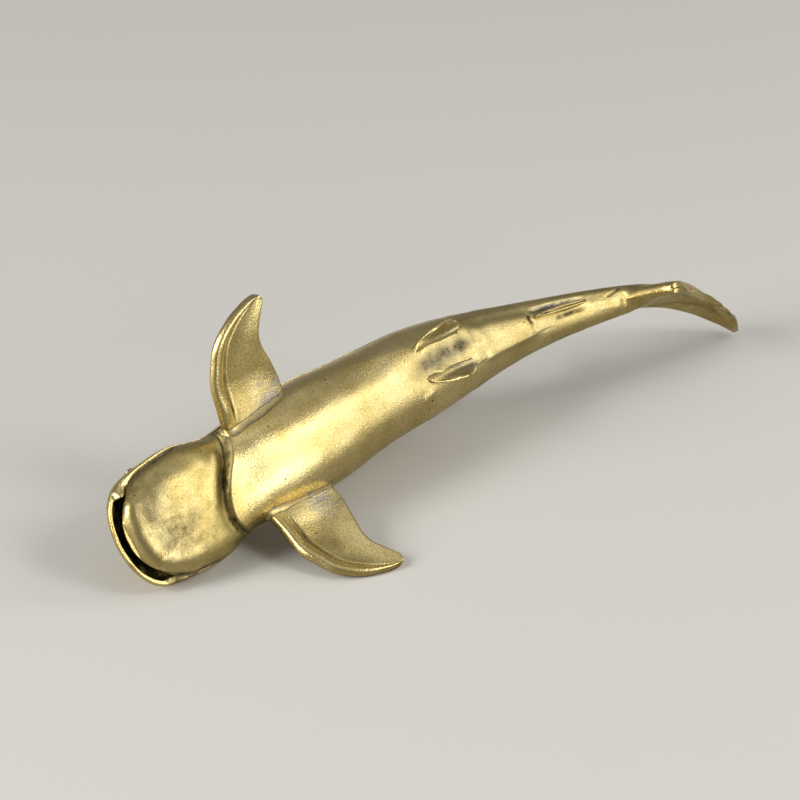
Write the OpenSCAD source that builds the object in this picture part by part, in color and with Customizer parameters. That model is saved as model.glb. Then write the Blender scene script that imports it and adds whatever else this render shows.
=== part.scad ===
// Cast brass whale shark ornament, lying tilted on its head rim, right pectoral fin and first dorsal fin.
// Every piece is drawn in the shark's own axes: x from snout to tail, y to its right side, z to its back.
// posed() then lays the whole animal down on the three places where it touches the table.

/* [Head and trunk] */
// Length from the snout to the end of the tail stock
body_len = 82.8; // [70:0.1:100]
// Full width of the head at its widest
head_w = 15.9; // [13:0.1:19]
// Height of the back above the flank seam, at its highest
back_h = 7.3; // [6:0.1:9]
// Depth of the belly below the flank seam, at its deepest
belly_h = 6.2; // [5:0.1:8]
// Radius of the sideways bend of the rear body
bend_r = 170; // [120:1:260]
// Distance by which the end of the tail stock lifts towards the belly side
tail_lift = 2.1; // [0:0.1:3]
// Height of the edge land of each casting along the flank seam
seam_land = 0.3; // [0.2:0.05:0.5]
// Distance by which the belly casting stands in from the back casting at the seam
seam_inset = 0.12; // [0.05:0.01:0.3]

/* [Mouth and jaw] */
// Width of the snout rim beside the lower jaw
rim_w = 0.6; // [0.45:0.05:1]
// Thickness of the snout rim in front of the mouth
rim_lip = 0.5; // [0.4:0.05:0.7]
// Depth to which the snout rim hangs below the seam
rim_drop = 0.5; // [0.35:0.05:0.8]
// Distance from the snout to the front of the lower jaw
jaw_setback = 0.9; // [0.6:0.05:1.3]
// Height of the open mouth at the jaw's lip
mouth_gap = 1.2; // [0.8:0.05:1.8]
// Depth of the open mouth behind the snout
mouth_depth = 6; // [4:0.1:8]
// Distance of the mouth's left corner from the midline
mouth_left = 5.3; // [4.5:0.1:6]
// Distance of the mouth's right corner from the midline
mouth_right = 6.1; // [5:0.1:6.5]
// Depth of the lower jaw plate below the seam
jaw_h = 4.4; // [3.5:0.1:5.4]
// Distance from the snout to the collar, where the belly casting meets the jaw plate
collar_x = 13.9; // [13:0.1:15]
// Distance by which the collar sweeps back at the left flank
collar_left = 4.8; // [3:0.1:5.5]
// Distance by which the collar sweeps back at the right flank
collar_right = 2; // [1:0.1:4]
// Running clearance between pieces that are let into each other
fit_gap = 0.03; // [0.02:0.01:0.08]

/* [Eyes and gills] */
// Diameter of the eyes
eye_d = 1.3; // [0.8:0.1:1.8]
// Distance from the snout to the eyes
eye_x = 7; // [6:0.1:9]
// Height of the eyes above the seam
eye_z = 1.4; // [1:0.1:2.2]
// Width of the gill slits
gill_w = 0.5; // [0.3:0.05:0.7]
// Distance from the snout to the first gill slit
gill_x = 15; // [14:0.1:16]
// Distance between gill slits
gill_pitch = 1.7; // [1.4:0.1:2]
// Height of the gill slits' lower ends above the seam
gill_low = 0.9; // [0.6:0.1:1.4]
// Height of the gill slits' upper ends above the seam
gill_high = 3.6; // [2.8:0.1:4.2]

/* [Pectoral fins] */
// Length of the pectoral root along the flank
pectoral_root = 10; // [8:0.1:12]
// Reach of each pectoral fin from its root
pectoral_reach = 14.6; // [11:0.1:17]
// Distance from the collar's left end to the front of the pectoral roots
pectoral_gap = 0.6; // [0.3:0.1:2]
// Depth of the pectoral root below the seam
pectoral_drop = 2.5; // [2.2:0.05:3]
// Angle by which the right pectoral fin droops, in degrees
right_droop = 33.5; // [22:0.5:38]
// Angle by which the left pectoral fin droops, in degrees
left_droop = 27; // [18:0.5:34]
// Thickness of the pectoral blade
pectoral_t = 1.1; // [0.8:0.05:1.6]
// Extra thickness of the rolled leading edge
pectoral_bead = 0.8; // [0.3:0.05:1.2]
// Depth of the dish in the blade's underside
pectoral_dish = 0.9; // [0.3:0.05:1.4]
// Leg of the solder fillet round the root
solder_leg = 0.7; // [0.4:0.05:1]

/* [Root pegs] */
// Diameter of the locating pegs of the pectoral fins
peg_d = 1.6; // [1.2:0.1:2]
// Length of the locating pegs beyond the fin roots
peg_len = 2.6; // [2:0.1:3.4]
// Clearance round a peg, on the diameter
peg_fit = 0.06; // [0.04:0.01:0.12]

/* [Dorsal, anal and pelvic fins] */
// Distance between the roots of the first and the second dorsal fin
dorsal_spacing = 11.5; // [8:0.5:15]
// Length of the first dorsal root
dorsal_root = 10; // [8:0.1:12]
// Height of the first dorsal fin above the seam
dorsal_top = 18.8; // [15:0.1:22]
// Thickness of the first dorsal fin
dorsal_t = 1.5; // [1:0.1:2.2]
// Distance from the second dorsal root's rear end to the end of the tail stock
second_gap = 11.8; // [9:0.1:16]
// Length of the second dorsal root
second_root = 5.5; // [4:0.1:7]
// Height of the second dorsal fin above the seam
second_top = 7.4; // [6:0.1:9]
// Distance from the anal fin's rear end to the end of the tail stock
anal_gap = 6.8; // [5:0.1:11]
// Length of the anal fin's root
anal_root = 8; // [6:0.1:9]
// Distance of the anal fin from the midline, to the left
anal_off = 1; // [0:0.1:1.4]
// Depth of the anal fin below the seam
anal_h = 4; // [3.6:0.1:5]
// Thickness of the small fins
small_t = 0.9; // [0.6:0.05:1.3]
// Distance from the pelvic roots' rear ends to the end of the belly casting
pelvic_gap = 1.8; // [1:0.1:4]
// Length of the pelvic roots
pelvic_root = 7.8; // [6:0.1:9]
// Half the distance between the pelvic roots
pelvic_y = 2; // [1.6:0.1:2.8]
// Distance of the pair of pelvic fins from the midline, to the left
pelvic_off = 1; // [0:0.1:1.4]
// Reach of the pelvic fins from their roots
pelvic_reach = 2.1; // [1.4:0.1:3]

/* [Caudal fin] */
// Radius of the sideways bend of the caudal fin
caudal_bend_r = 33; // [28:1:60]
// Length of the long upper lobe behind the tail stock
upper_lobe = 22.5; // [18:0.5:27]
// Height of the upper lobe's tip above the axis
upper_tip = 8.2; // [6:0.1:9]
// Depth of the short lower lobe's tip below the axis
lower_tip = 10; // [8:0.1:12]
// Thickness of the caudal web
caudal_t = 0.9; // [0.6:0.05:1.4]
// Extra thickness of the rolled leading edge
caudal_bead = 0.8; // [0.3:0.05:1.3]

/* [Hidden] */

// Stations along the body and the body's form at each, as shares of the driving sizes
station_shares = [0, 0.055, 0.096, 0.145, 0.182, 0.217, 0.266, 0.338, 0.399, 0.459,
    0.532, 0.604, 0.689, 0.773, 0.857, 0.95, 1];
width_shares = [0.906, 0.92, 0.96, 0.985, 0.89, 0.818, 0.855, 0.906, 0.9, 0.83,
    0.785, 0.755, 0.645, 0.5, 0.385, 0.295, 0.245];
back_shares = [0.07, 0.44, 0.62, 0.75, 0.82, 0.88, 0.93, 0.986, 1, 0.986,
    0.945, 0.877, 0.753, 0.616, 0.48, 0.342, 0.274];
belly_shares = [0.6, 0.65, 0.69, 0.7, 0.7, 0.75, 0.87, 0.984, 1, 0.968,
    0.887, 0.79, 0.661, 0.532, 0.42, 0.323, 0.28];
jaw_shares = [0.6, 0.86, 0.97, 0.98, 0.9, 0.85, 0.85, 0.85, 0.85, 0.85,
    0.85, 0.85, 0.85, 0.85, 0.85, 0.85, 0.85];
square_shares = [2.2, 2.4, 2.7, 2.8, 2.6, 2.3, 2.2, 2.1, 2.1, 2.1, 2.1, 2.1, 2, 2, 2, 2, 2];
// Length of the rounded nose as a share of the body, and how square its plan is
nose_share = 0.064;
nose_square_share = 2.15;
nose_rise_share = 0.8;
// Length of the jaw plate's rounded front, as a share of the body
jaw_nose_share = 0.084;
// Where the body starts to bend, as a share of its length
bend_share = 0.459;
// Where the body starts to lift towards the belly side, as a share of its length
lift_share = 0.67;
// Where the belly casting ends behind the pelvic fins, as a share of the body's length
belly_end_share = 0.693;
// Where the snout rim starts and ends running out into the flank seam
rim_fade_shares = [0.127, 0.172];
// How the mouth narrows and shuts, as shares of its depth
mouth_roof_share = 0.42;
mouth_corner_share = 0.2;
mouth_shut_share = 0.27;
// Thickness of the jaw's lip as a share of the mouth's height
lip_share = 0.3;
// Rounding of the belly's front edge, and the crease in front of it, as shares of the jaw's depth
brow_share = 0.42;
crease_share = 0.1;
// Where the collar comes furthest forward, as a share of the half width, and its curves to the left and right
collar_lead_share = 0.5;
collar_power_shares = [1.2, 1.6];

// Plan of a pectoral fin from root to tip: [share of its root along x, share of its reach]
pectoral_lead_shares = [[0, 0], [-0.025, 0.2], [-0.03, 0.4], [0.045, 0.586], [0.16, 0.75], [0.445, 0.905],
    [0.89, 1.01]];
pectoral_trail_shares = [[1, 0], [1.01, 0.14], [0.935, 0.34], [0.86, 0.52], [0.855, 0.65], [0.93, 0.78],
    [1.04, 0.93]];
// Where a pectoral blade is measured from, as a share of the head's half width
pectoral_seat_share = 0.82;
// Thickness of a pectoral fin at its root, as a share of its blade's
pectoral_root_share = 1.6;
// Width of the rolled leading edge, as a share of the chord
roll_share = 0.24;
// Where a fin's root has run out into its plain blade, as a share of its reach
pectoral_blend_share = 0.4;

// Plan of the first dorsal fin: [share of its root along x, share of its height]
dorsal_lead_shares = [[0, 0], [0.2, 0.34], [0.44, 0.67], [0.76, 0.92], [1.02, 1]];
dorsal_trail_shares = [[1, 0], [0.93, 0.3], [0.96, 0.58], [1.07, 0.84], [1.2, 0.96]];
// Thickness of an upright fin at its root and tip, as shares of its own
upright_taper_shares = [1.2, 0.6];
// Plan of the second dorsal fin
second_lead_shares = [[0, 0], [0.3, 0.4], [0.62, 0.78], [0.95, 1]];
second_trail_shares = [[1, 0], [1.02, 0.3], [1.1, 0.6], [1.25, 0.85]];
// Plan of the anal fin, a long low ridge
anal_lead_shares = [[0, 0], [0.02, 0.5], [0.06, 1]];
anal_trail_shares = [[1, 0], [1, 0.5], [0.97, 1]];
// Plan of a pelvic fin
pelvic_lead_shares = [[0, 0], [0.3, 0.3], [0.6, 0.66], [0.8, 1]];
pelvic_trail_shares = [[1, 0], [1.03, 0.35], [1, 0.7], [0.9, 1]];
// Angle by which the pelvic fins lean out from level, in degrees
pelvic_lean = 38;
// Width of a pelvic fin's foot, as a share of its distance from the midline
pelvic_foot_share = 0.4;

// Trailing edge of the caudal fin from lower to upper tip: [share of the upper lobe, share of the height]
caudal_trail_shares = [[0.062, 0], [0.2, 0.14], [0.35, 0.28], [0.5, 0.43], [0.64, 0.56], [0.79, 0.71],
    [0.91, 0.855], [1, 1]];
// How far from the root the tail stock's form runs out, as a share of the fin
caudal_root_share = 0.55;
// How much closer together its points lie towards the root
caudal_pack_share = 1.3;

// Where the first row of points above a small fin's root lies, as a share of its height
foot_share = 0.08;

// Places of the rear fins, counted from the end of the tail stock and of the belly casting
belly_end = body_len * belly_end_share;
second_x = body_len - second_gap - second_root;
dorsal_x = second_x - dorsal_spacing - dorsal_root;
anal_x = body_len - anal_gap - anal_root;
pelvic_x = belly_end - pelvic_gap - pelvic_root;
pectoral_x = collar_x + collar_left + pectoral_gap;

// How far a peg is rooted in its fin, as a share of its length
peg_sink_share = 0.2;
peg_sink = peg_len * peg_sink_share;
// First guess of the direction that points up when the animal lies down, in its own axes
up_guess = [0.1, -0.8, -0.58];

// How far an eye is sunk into the head, as a share of its diameter
eye_sink_share = 0.3;
// Number of gill slits on each side
gill_count = 3;

// Count of points along and across the castings, the large fins and the small fins
cols = 25;
jaw_rows = 14;
belly_rows = 26;
fin_rows = 15;
fin_cols = 11;
caudal_cols = 15;
small_rows = 7;
small_cols = 9;

// Smooth step from 0 to 1
function ease(t) = let(u = min(max(t, 0), 1)) u * u * (3 - 2 * u);
function mix(a, b, t) = a + (b - a) * t;

// Value of a share table at a share s of the body, on a smooth curve through its stations
function seg(s, i = 1) = i >= len(station_shares) - 1 || s < station_shares[i] ? i - 1 : seg(s, i + 1);
function slope_at(t, i) =
    let(a = max(i - 1, 0), b = min(i + 1, len(t) - 1))
    (t[b] - t[a]) / (station_shares[b] - station_shares[a]);
function along(t, s) =
    let(i = seg(s), h = station_shares[i + 1] - station_shares[i],
        u = min(max((s - station_shares[i]) / h, 0), 1))
    t[i] * (2 * u ^ 3 - 3 * u ^ 2 + 1) + slope_at(t, i) * h * (u ^ 3 - 2 * u ^ 2 + u)
    + t[i + 1] * (3 * u ^ 2 - 2 * u ^ 3) + slope_at(t, i + 1) * h * (u ^ 3 - u ^ 2);

// Rounded front of the snout or jaw, from 0 at its tip to 1
function nose(s) =
    let(u = min(max(s / nose_share, 0), 1))
    (1 - (1 - u) ^ nose_square_share) ^ (1 / nose_square_share);
function jaw_nose(s) =
    let(u = min(max(s / jaw_nose_share, 0), 1))
    sqrt(1 - (1 - u) ^ 2);

// Half sizes of the body at a distance x behind the snout
function full_w(x) = head_w / 2 * along(width_shares, x / body_len);
function half_w(x) = full_w(x) * nose(x / body_len);
function back_z(x) = back_h * along(back_shares, x / body_len) * nose(x / body_len) ^ nose_rise_share;
function belly_z(x) = belly_h * along(belly_shares, x / body_len);
function square_at(x) = along(square_shares, x / body_len);
// Height share of a rounded square section at v of its half width
function bulge(v, n) = max(1 - abs(v) ^ n, 0) ^ (1 / n);

// Rim round the lower jaw, running out into the seam step behind the head
function rim_fade(x) =
    ease((x / body_len - rim_fade_shares[0]) / (rim_fade_shares[1] - rim_fade_shares[0]));
function rim_at(x) = mix(rim_w, seam_inset, rim_fade(x));
function lip_at(x) = mix(rim_lip, rim_at(x), ease(x / mouth_depth));
function cavity_w(x) = (full_w(x) - lip_at(x)) * nose((x - rim_lip) / body_len);
function rim_z(x) = mix(rim_drop, seam_land, rim_fade(x));
function jaw_w(x) = (full_w(x) - rim_at(x)) * jaw_nose((x - jaw_setback) / body_len);
function roof_z(x) = mix(mouth_gap * mouth_roof_share, -seam_land,
    ease((x - mouth_depth * (1 - mouth_shut_share)) / (mouth_depth * mouth_shut_share)));
// The rim's inner edge follows the jaw plate beyond the mouth's corner, and comes down to it there
function wall_w(x, corner) = min(cavity_w(x), max(corner, jaw_w(x)));
function wall_z(x, corner) =
    mix(rim_z(x), lip_share * mouth_gap - jaw_top_z(x, 1), ease((cavity_w(x) - wall_w(x, corner)) / rim_w));

// The body's axis runs straight, then bends to the right on one arc, and its end lifts towards the belly
bend_x = body_len * bend_share;
function turn_at(x) = max(x - bend_x, 0) / bend_r * 180 / PI;
lift_x = body_len * lift_share;
function lift_at(x) = tail_lift * (max(x - lift_x, 0) / (body_len - lift_x)) ^ 2;
function on_axis(x, y, z) =
    let(a = turn_at(x))
    [min(x, bend_x) + bend_r * sin(a) - y * sin(a), bend_r * (1 - cos(a)) + y * cos(a), z - lift_at(x)];

// Closed solid between an upper and a lower sheet of points with the same rows and columns
function sheet_faces(n, m, base, flip) =
    [for (i = [0 : n - 2], j = [0 : m - 2], k = [0, 1])
        let(a = base + i * m + j, b = a + 1, c = a + m + 1, d = a + m,
            t = k == 0 ? [a, b, c] : [a, c, d])
        flip ? [t[2], t[1], t[0]] : t];
function wall_faces(ring, shift) =
    [for (i = [0 : len(ring) - 1], k = [0, 1])
        let(a = ring[i], b = ring[(i + 1) % len(ring)])
        k == 0 ? [a, b, b + shift] : [a, b + shift, a + shift]];
function rim_ring(n, m) = concat(
    [for (j = [0 : m - 2]) j],
    [for (i = [0 : n - 2]) i * m + m - 1],
    [for (j = [m - 1 : -1 : 1]) (n - 1) * m + j],
    [for (i = [n - 1 : -1 : 1]) i * m]);
function flat(rows2) = [for (r = rows2) each r];

module sheet_solid(upper, lower) {
    n = len(upper);
    m = len(upper[0]);
    polyhedron(
        points = concat(flat(upper), flat(lower)),
        faces = concat(sheet_faces(n, m, 0, false), sheet_faces(n, m, n * m, true),
            [for (f = wall_faces(rim_ring(n, m), n * m)) [f[2], f[1], f[0]]]));
}

// Share across a section at column j, closer together towards the edges
function across(j, m) = -cos(180 * j / (m - 1));

// Distances of the back casting's rows from the snout
nose_len = body_len * nose_share;
front_len = body_len * jaw_nose_share + jaw_setback;
back_xs = concat(
    [for (i = [1 : 10]) nose_len * (1 - cos(90 * (i == 1 ? 1.4 : i) / 10))],
    [for (i = [1 : 4]) mix(nose_len, front_len, i / 4)],
    [for (i = [1 : 15]) mix(front_len, belly_end - fit_gap, i / 15)],
    [for (i = [0 : 11]) mix(belly_end, body_len, i / 11)]);
function back_upper() =
    [for (x = back_xs)
        let(w = half_w(x), h = back_z(x), n = square_at(x))
        [for (j = [0 : cols - 1]) let(v = across(j, cols)) on_axis(x, v * w, h * bulge(v, n))]];
function back_lower_row(x) =
    let(w = half_w(x), n = square_at(x), b = belly_z(x) - seam_land, open = x > rim_lip + fit_gap)
    x >= belly_end
        ? [for (j = [0 : cols - 1])
            let(v = across(j, cols)) on_axis(x, v * w, -seam_land - b * bulge(v, n))]
        : [for (j = [0 : cols - 1])
            let(k = min(j, cols - 1 - j), s = j < cols / 2 ? -1 : 1,
                corner = s < 0 ? mouth_left : mouth_right,
                lip = open ? wall_w(x, corner) + fit_gap : w * 0.8,
                y = k == 0 ? w : k == 1 ? mix(w, lip, 0.5) : k == 2 ? lip
                    : (lip - fit_gap) * abs(2 * (j - 3) / (cols - 7) - 1),
                z = k < 2 || !open ? -rim_z(x) : k == 2 ? -wall_z(x, corner) : roof_z(x))
            on_axis(x, s * y, z)];
function back_lower() = [for (x = back_xs) back_lower_row(x)];

// Half width of the back casting at a height z
function side_y(x, z) = half_w(x) * bulge(z / back_z(x), square_at(x));
module rod(a, b, d) {
    v = b - a;
    translate(a) rotate([0, acos(v[2] / norm(v)), atan2(v[1], v[0])])
        cylinder(d = d, h = norm(v), $fn = 16);
}
module eyes() {
    for (hand = [-1, 1])
        translate([eye_x, hand * (side_y(eye_x, eye_z) - eye_d * eye_sink_share), eye_z])
            sphere(d = eye_d, $fn = 24);
}
module gill_slits() {
    for (hand = [-1, 1], k = [0 : gill_count - 1]) {
        x = gill_x + k * gill_pitch;
        rod([x, hand * side_y(x, gill_low), gill_low], [x, hand * side_y(x, gill_high), gill_high], gill_w);
    }
}

module back_casting() {
    color("goldenrod") difference() {
        union() {
            sheet_solid(back_upper(), back_lower());
            eyes();
        }
        gill_slits();
        dorsal_peg(peg_fit, peg_len);
        caudal_peg(peg_fit, peg_len);
    }
}

// The collar's distance from the snout at v of the half width
function collar_at(v) =
    let(lead = collar_lead_share)
    collar_x + (v < lead ? collar_left * ease((lead - v) / (1 + lead)) ^ collar_power_shares[0]
        : collar_right * ((v - lead) / (1 - lead)) ^ collar_power_shares[1]);
function jaw_row_x(u, v) = mix(jaw_setback, collar_at(v), u);
function jaw_steps() = [for (i = [0 : jaw_rows - 1]) let(t = i / (jaw_rows - 1)) mix(fit_gap, 1, t ^ 1.7)];
function jaw_top_z(x, v) =
    let(corner = mouth_depth * (1 - mouth_shut_share - mouth_corner_share * abs(v) ^ 4))
    -mix(mouth_gap, seam_land, ease((x - corner) / (mouth_depth * mouth_shut_share)));
function jaw_deep(x) =
    jaw_h * along(jaw_shares, x / body_len) * nose((x - jaw_setback) / body_len) ^ nose_rise_share;
function jaw_point(u, v, top) =
    let(x = jaw_row_x(u, v), w = jaw_w(x), zt = jaw_top_z(x, v), e = -zt + lip_share * mouth_gap,
        crease = crease_share * jaw_h * ease((x - collar_at(v)) / collar_x * 6 + 1),
        d = max(jaw_deep(x) - crease, e) - e)
    on_axis(x, v * w, top ? zt : -e - d * bulge(v, square_at(x)));
function jaw_sheet(top) =
    [for (u = jaw_steps()) [for (j = [0 : cols - 1]) jaw_point(u, across(j, cols), top)]];

module jaw_plate() {
    color("darkgoldenrod") sheet_solid(jaw_sheet(true), jaw_sheet(false));
}

// The belly casting starts at the collar with a rounded front edge
function belly_point(u, v, top) =
    let(x = mix(collar_at(v), belly_end, u), w = jaw_w(x), land = seam_land,
        e = land + lip_share * mouth_gap,
        xc = collar_at(v), start = max(jaw_deep(xc) - crease_share * jaw_h, e),
        rise = bulge(1 - min((x - xc) / (brow_share * jaw_h), 1), 2),
        h = mix(start, belly_z(x), rise))
    on_axis(x, v * w, top ? -land : -e - (h - e) * bulge(v, square_at(x)));
function belly_steps() = [for (i = [0 : belly_rows - 1]) let(t = i / (belly_rows - 1)) t ^ 1.4];
function belly_sheet(top) =
    [for (u = belly_steps()) [for (j = [0 : cols - 1]) belly_point(u, across(j, cols), top)]];

module belly_casting() {
    color("gold") difference() {
        sheet_solid(belly_sheet(true), belly_sheet(false));
        for (hand = [-1, 1]) pectoral_peg(hand, peg_fit, peg_len);
    }
}

// Depth of the belly casting below the seam at v of its half width, with its rounded front edge
belly_edge = seam_land + lip_share * mouth_gap;
function belly_deep(x, v) =
    let(xc = collar_at(v), start = max(jaw_deep(xc) - crease_share * jaw_h, belly_edge),
        rise = bulge(1 - min((x - xc) / (brow_share * jaw_h), 1), 2))
    mix(start, belly_z(x), rise);
function belly_at(x, y) =
    let(v = max(min(y / jaw_w(x), 1), -1))
    -belly_edge - (belly_deep(x, v) - belly_edge) * bulge(v, square_at(x));
// Half width of the belly casting at a depth z, on the right side where hand is 1 and on the left where it is -1
function flank_y(x, z, hand) =
    let(n = square_at(x), q = (-z - belly_edge) / (belly_deep(x, 0.9 * hand) - belly_edge))
    jaw_w(x) * bulge(q, n);
function back_at(x, y) = back_z(x) * bulge(y / half_w(x), square_at(x));
function tail_at(x, y) = -seam_land - (belly_z(x) - seam_land) * bulge(y / half_w(x), square_at(x));

// Point on a smooth curve through a short table of points
function knot(t, i) = t[min(max(i, 0), len(t) - 1)];
function curve(t, s) =
    let(p = min(max(s, 0), 1) * (len(t) - 1), i = min(floor(p), len(t) - 2), u = p - i,
        a = knot(t, i - 1), b = knot(t, i), c = knot(t, i + 1), d = knot(t, i + 2))
    (2 * b + (c - a) * u + (2 * a - 5 * b + 4 * c - d) * u ^ 2 + (3 * b - a - 3 * c + d) * u ^ 3) / 2;

// Thickness of a fin across its chord, thin at both edges, as a share
function section(c) = mix(0.35, 1, bulge(2 * c - 1, 2.4));
function roll(c) = max(1 - ((c - roll_share / 2) / (roll_share / 1.6)) ^ 2, 0);
function fin_steps(n, first) = concat([0], [for (i = [0 : n - 2]) mix(first, 1, i / (n - 2))]);
function chord(j, m) = (1 - cos(180 * j / (m - 1))) / 2;

// Pectoral fin: hand is 1 for the right one, side is 1 for its upper face and -1 for its dished lower face
pectoral_y = head_w / 2 * pectoral_seat_share;
function droop(hand) = hand > 0 ? right_droop : left_droop;
function pectoral_plan(t, c) = mix(curve(pectoral_lead_shares, t), curve(pectoral_trail_shares, t), c);
function pectoral_off(t, c, side) =
    let(root = pectoral_t * pectoral_root_share * section(c) / 2,
        blade = pectoral_t * section(c) / 2 * mix(1, 0.75, t),
        dish = pectoral_dish * 4 * c * (1 - c) * ease(t * 3) * mix(1, 0.5, t),
        rolled = pectoral_bead * roll(c) * ease(t * 4))
    side > 0 ? mix(root, blade, ease(t * 3)) + dish / 2
        : -mix(root, blade, ease(t * 3)) + dish - rolled;
function pectoral_point(t, c, side, hand) =
    let(s = pectoral_plan(t, c), off = pectoral_off(t, c, side), r = s[1] * pectoral_reach, w = droop(hand),
        x = pectoral_x + s[0] * pectoral_root,
        z0 = -pectoral_drop + pectoral_off(0, c, side) * cos(w),
        y0 = flank_y(pectoral_x + c * pectoral_root, z0, hand) + fit_gap,
        y = pectoral_y + r * cos(w) + off * sin(w),
        yp = pectoral_y + pectoral_off(0, c, side) * sin(w),
        z = -pectoral_drop - r * sin(w) + off * cos(w))
    [x, hand * (y + (y0 - yp) * (1 - ease(t / pectoral_blend_share))), z];
pectoral_first = solder_leg / pectoral_reach;
function pectoral_sheet(side, hand) =
    [for (t = fin_steps(fin_rows, pectoral_first))
        [for (j = [0 : fin_cols - 1]) pectoral_point(t, chord(j, fin_cols), side, hand)]];
// Locating peg of a pectoral fin, or with play the hole for it
module pectoral_peg(hand, play, sink) {
    x = pectoral_x + pectoral_root / 2;
    y = flank_y(x, -pectoral_drop, hand);
    translate([x, hand * (y + sink), -pectoral_drop]) rotate([hand * 90, 0, 0])
        cylinder(d = peg_d + play, h = peg_len + sink + play, $fn = 32);
}
// Locating peg of the first dorsal fin, or with play the hole for it
module dorsal_peg(play, sink) {
    x = dorsal_x + dorsal_root / 2;
    translate(on_axis(x, 0, back_z(x) - peg_len - play))
        cylinder(d = peg_d + play, h = peg_len + play + sink, $fn = 32);
}
// Locating peg of the caudal fin, or with play the hole for it
module caudal_peg(play, sink) {
    translate(on_axis(body_len, 0, 0)) rotate([0, 0, turn_at(body_len)]) rotate([0, 90, 0])
        translate([0, 0, -peg_len - play]) cylinder(d = peg_d + play, h = peg_len + play + sink, $fn = 32);
}

module pectoral_fin(hand) {
    a = pectoral_sheet(1, hand);
    b = pectoral_sheet(-1, hand);
    color("khaki") {
        if (hand > 0) sheet_solid(b, a); else sheet_solid(a, b);
        pectoral_peg(hand, 0, peg_sink);
    }
}
module right_pectoral_fin() { pectoral_fin(1); }
module left_pectoral_fin() { pectoral_fin(-1); }

// Upright fins on the midline: side is 1 for the right face and -1 for the left
function upright_point(lead, trail, x0, root, top, foot, t, c, side, thick, off) =
    let(s = mix(curve(lead, t), curve(trail, t), c),
        y = side * thick / 2 * section(c) * mix(upright_taper_shares[0], upright_taper_shares[1], t) - off,
        xr = x0 + c * root,
        zr = foot == "back" ? back_at(xr, y) + fit_gap : tail_at(xr, y) - fit_gap,
        z = mix(zr, top, s[1]))
    on_axis(x0 + s[0] * root, y, z);
function upright_sheet(lead, trail, x0, root, top, foot, side, thick, n, m, off = 0) =
    [for (t = fin_steps(n, foot_share))
        [for (j = [0 : m - 1])
            upright_point(lead, trail, x0, root, top, foot, t, chord(j, m), side, thick, off)]];
function dorsal_sheet(side) =
    upright_sheet(dorsal_lead_shares, dorsal_trail_shares, dorsal_x, dorsal_root, dorsal_top, "back", side,
        dorsal_t, fin_rows, fin_cols);
function second_sheet(side) =
    upright_sheet(second_lead_shares, second_trail_shares, second_x, second_root, second_top, "back", side,
        small_t, small_rows, small_cols);
function anal_sheet(side) =
    upright_sheet(anal_lead_shares, anal_trail_shares, anal_x, anal_root, -anal_h, "tail", side,
        small_t, small_rows, small_cols, anal_off);
module first_dorsal_fin() {
    color("khaki") {
        sheet_solid(dorsal_sheet(1), dorsal_sheet(-1));
        dorsal_peg(0, peg_sink);
    }
}
module second_dorsal_fin() {
    color("khaki") sheet_solid(second_sheet(1), second_sheet(-1));
}
module anal_fin() {
    color("khaki") sheet_solid(anal_sheet(-1), anal_sheet(1));
}

// Pelvic fin: side is 1 for its outer face and -1 for its inner face
function pelvic_point(t, c, side, hand) =
    let(s = mix(curve(pelvic_lead_shares, t), curve(pelvic_trail_shares, t), c),
        xr = pelvic_x + c * pelvic_root, foot = pelvic_y * pelvic_foot_share * section(c) * mix(1, 0.7, t),
        y0 = hand * (pelvic_y + side * foot / 2) - pelvic_off, z0 = belly_at(xr, y0) - fit_gap,
        r = s[1] * pelvic_reach)
    on_axis(pelvic_x + s[0] * pelvic_root, y0 + hand * r * cos(pelvic_lean), z0 - r * sin(pelvic_lean));
function pelvic_sheet(side, hand) =
    [for (t = fin_steps(small_rows, foot_share))
        [for (j = [0 : small_cols - 1]) pelvic_point(t, chord(j, small_cols), side, hand)]];
module pelvic_fin(hand) {
    a = pelvic_sheet(1, hand);
    b = pelvic_sheet(-1, hand);
    color("khaki") if (hand > 0) sheet_solid(b, a); else sheet_solid(a, b);
}
module right_pelvic_fin() { pelvic_fin(1); }
module left_pelvic_fin() { pelvic_fin(-1); }

// The caudal fin goes on bending to the right behind the tail stock, on a tighter arc
function on_tail(q, y, h) =
    let(a0 = turn_at(body_len), a = q / caudal_bend_r * 180 / PI, base = on_axis(body_len, 0, 0),
        lx = caudal_bend_r * sin(a), ly = caudal_bend_r * (1 - cos(a)))
    [base[0] + lx * cos(a0) - ly * sin(a0) - y * sin(a0 + a),
        base[1] + lx * sin(a0) + ly * cos(a0) + y * cos(a0 + a), h - lift_at(body_len + q)];
function caudal_trail(v) =
    let(s = curve(caudal_trail_shares, v))
    [s[0] * upper_lobe, mix(-lower_tip, upper_tip, s[1])];
// Side is 1 for the right face and -1 for the left; u runs from root to tip, v from lower to upper edge
function caudal_point(u, v, side) =
    let(a = -cos(180 * v), root = [0, a > 0 ? back_z(body_len) * a : tail_at(body_len, 0) * -a],
        p = mix(root, caudal_trail(v), u), fade = ease(u / caudal_root_share),
        web = caudal_t / 2 * mix(1, 0.5, u) + caudal_bead / 2 * (roll(1 - v) + roll(v) / 2),
        stock = max(half_w(body_len) * bulge(a, 2), caudal_t / 4))
    on_tail(p[0] + fit_gap, side * mix(stock, web, fade), p[1]);
function caudal_sheet(side) =
    [for (i = [0 : fin_rows - 1])
        [for (j = [0 : caudal_cols - 1])
            caudal_point((i / (fin_rows - 1)) ^ caudal_pack_share, j / (caudal_cols - 1), side)]];
module caudal_fin() {
    color("khaki") {
        sheet_solid(caudal_sheet(-1), caudal_sheet(1));
        caudal_peg(0, peg_sink);
    }
}

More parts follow.
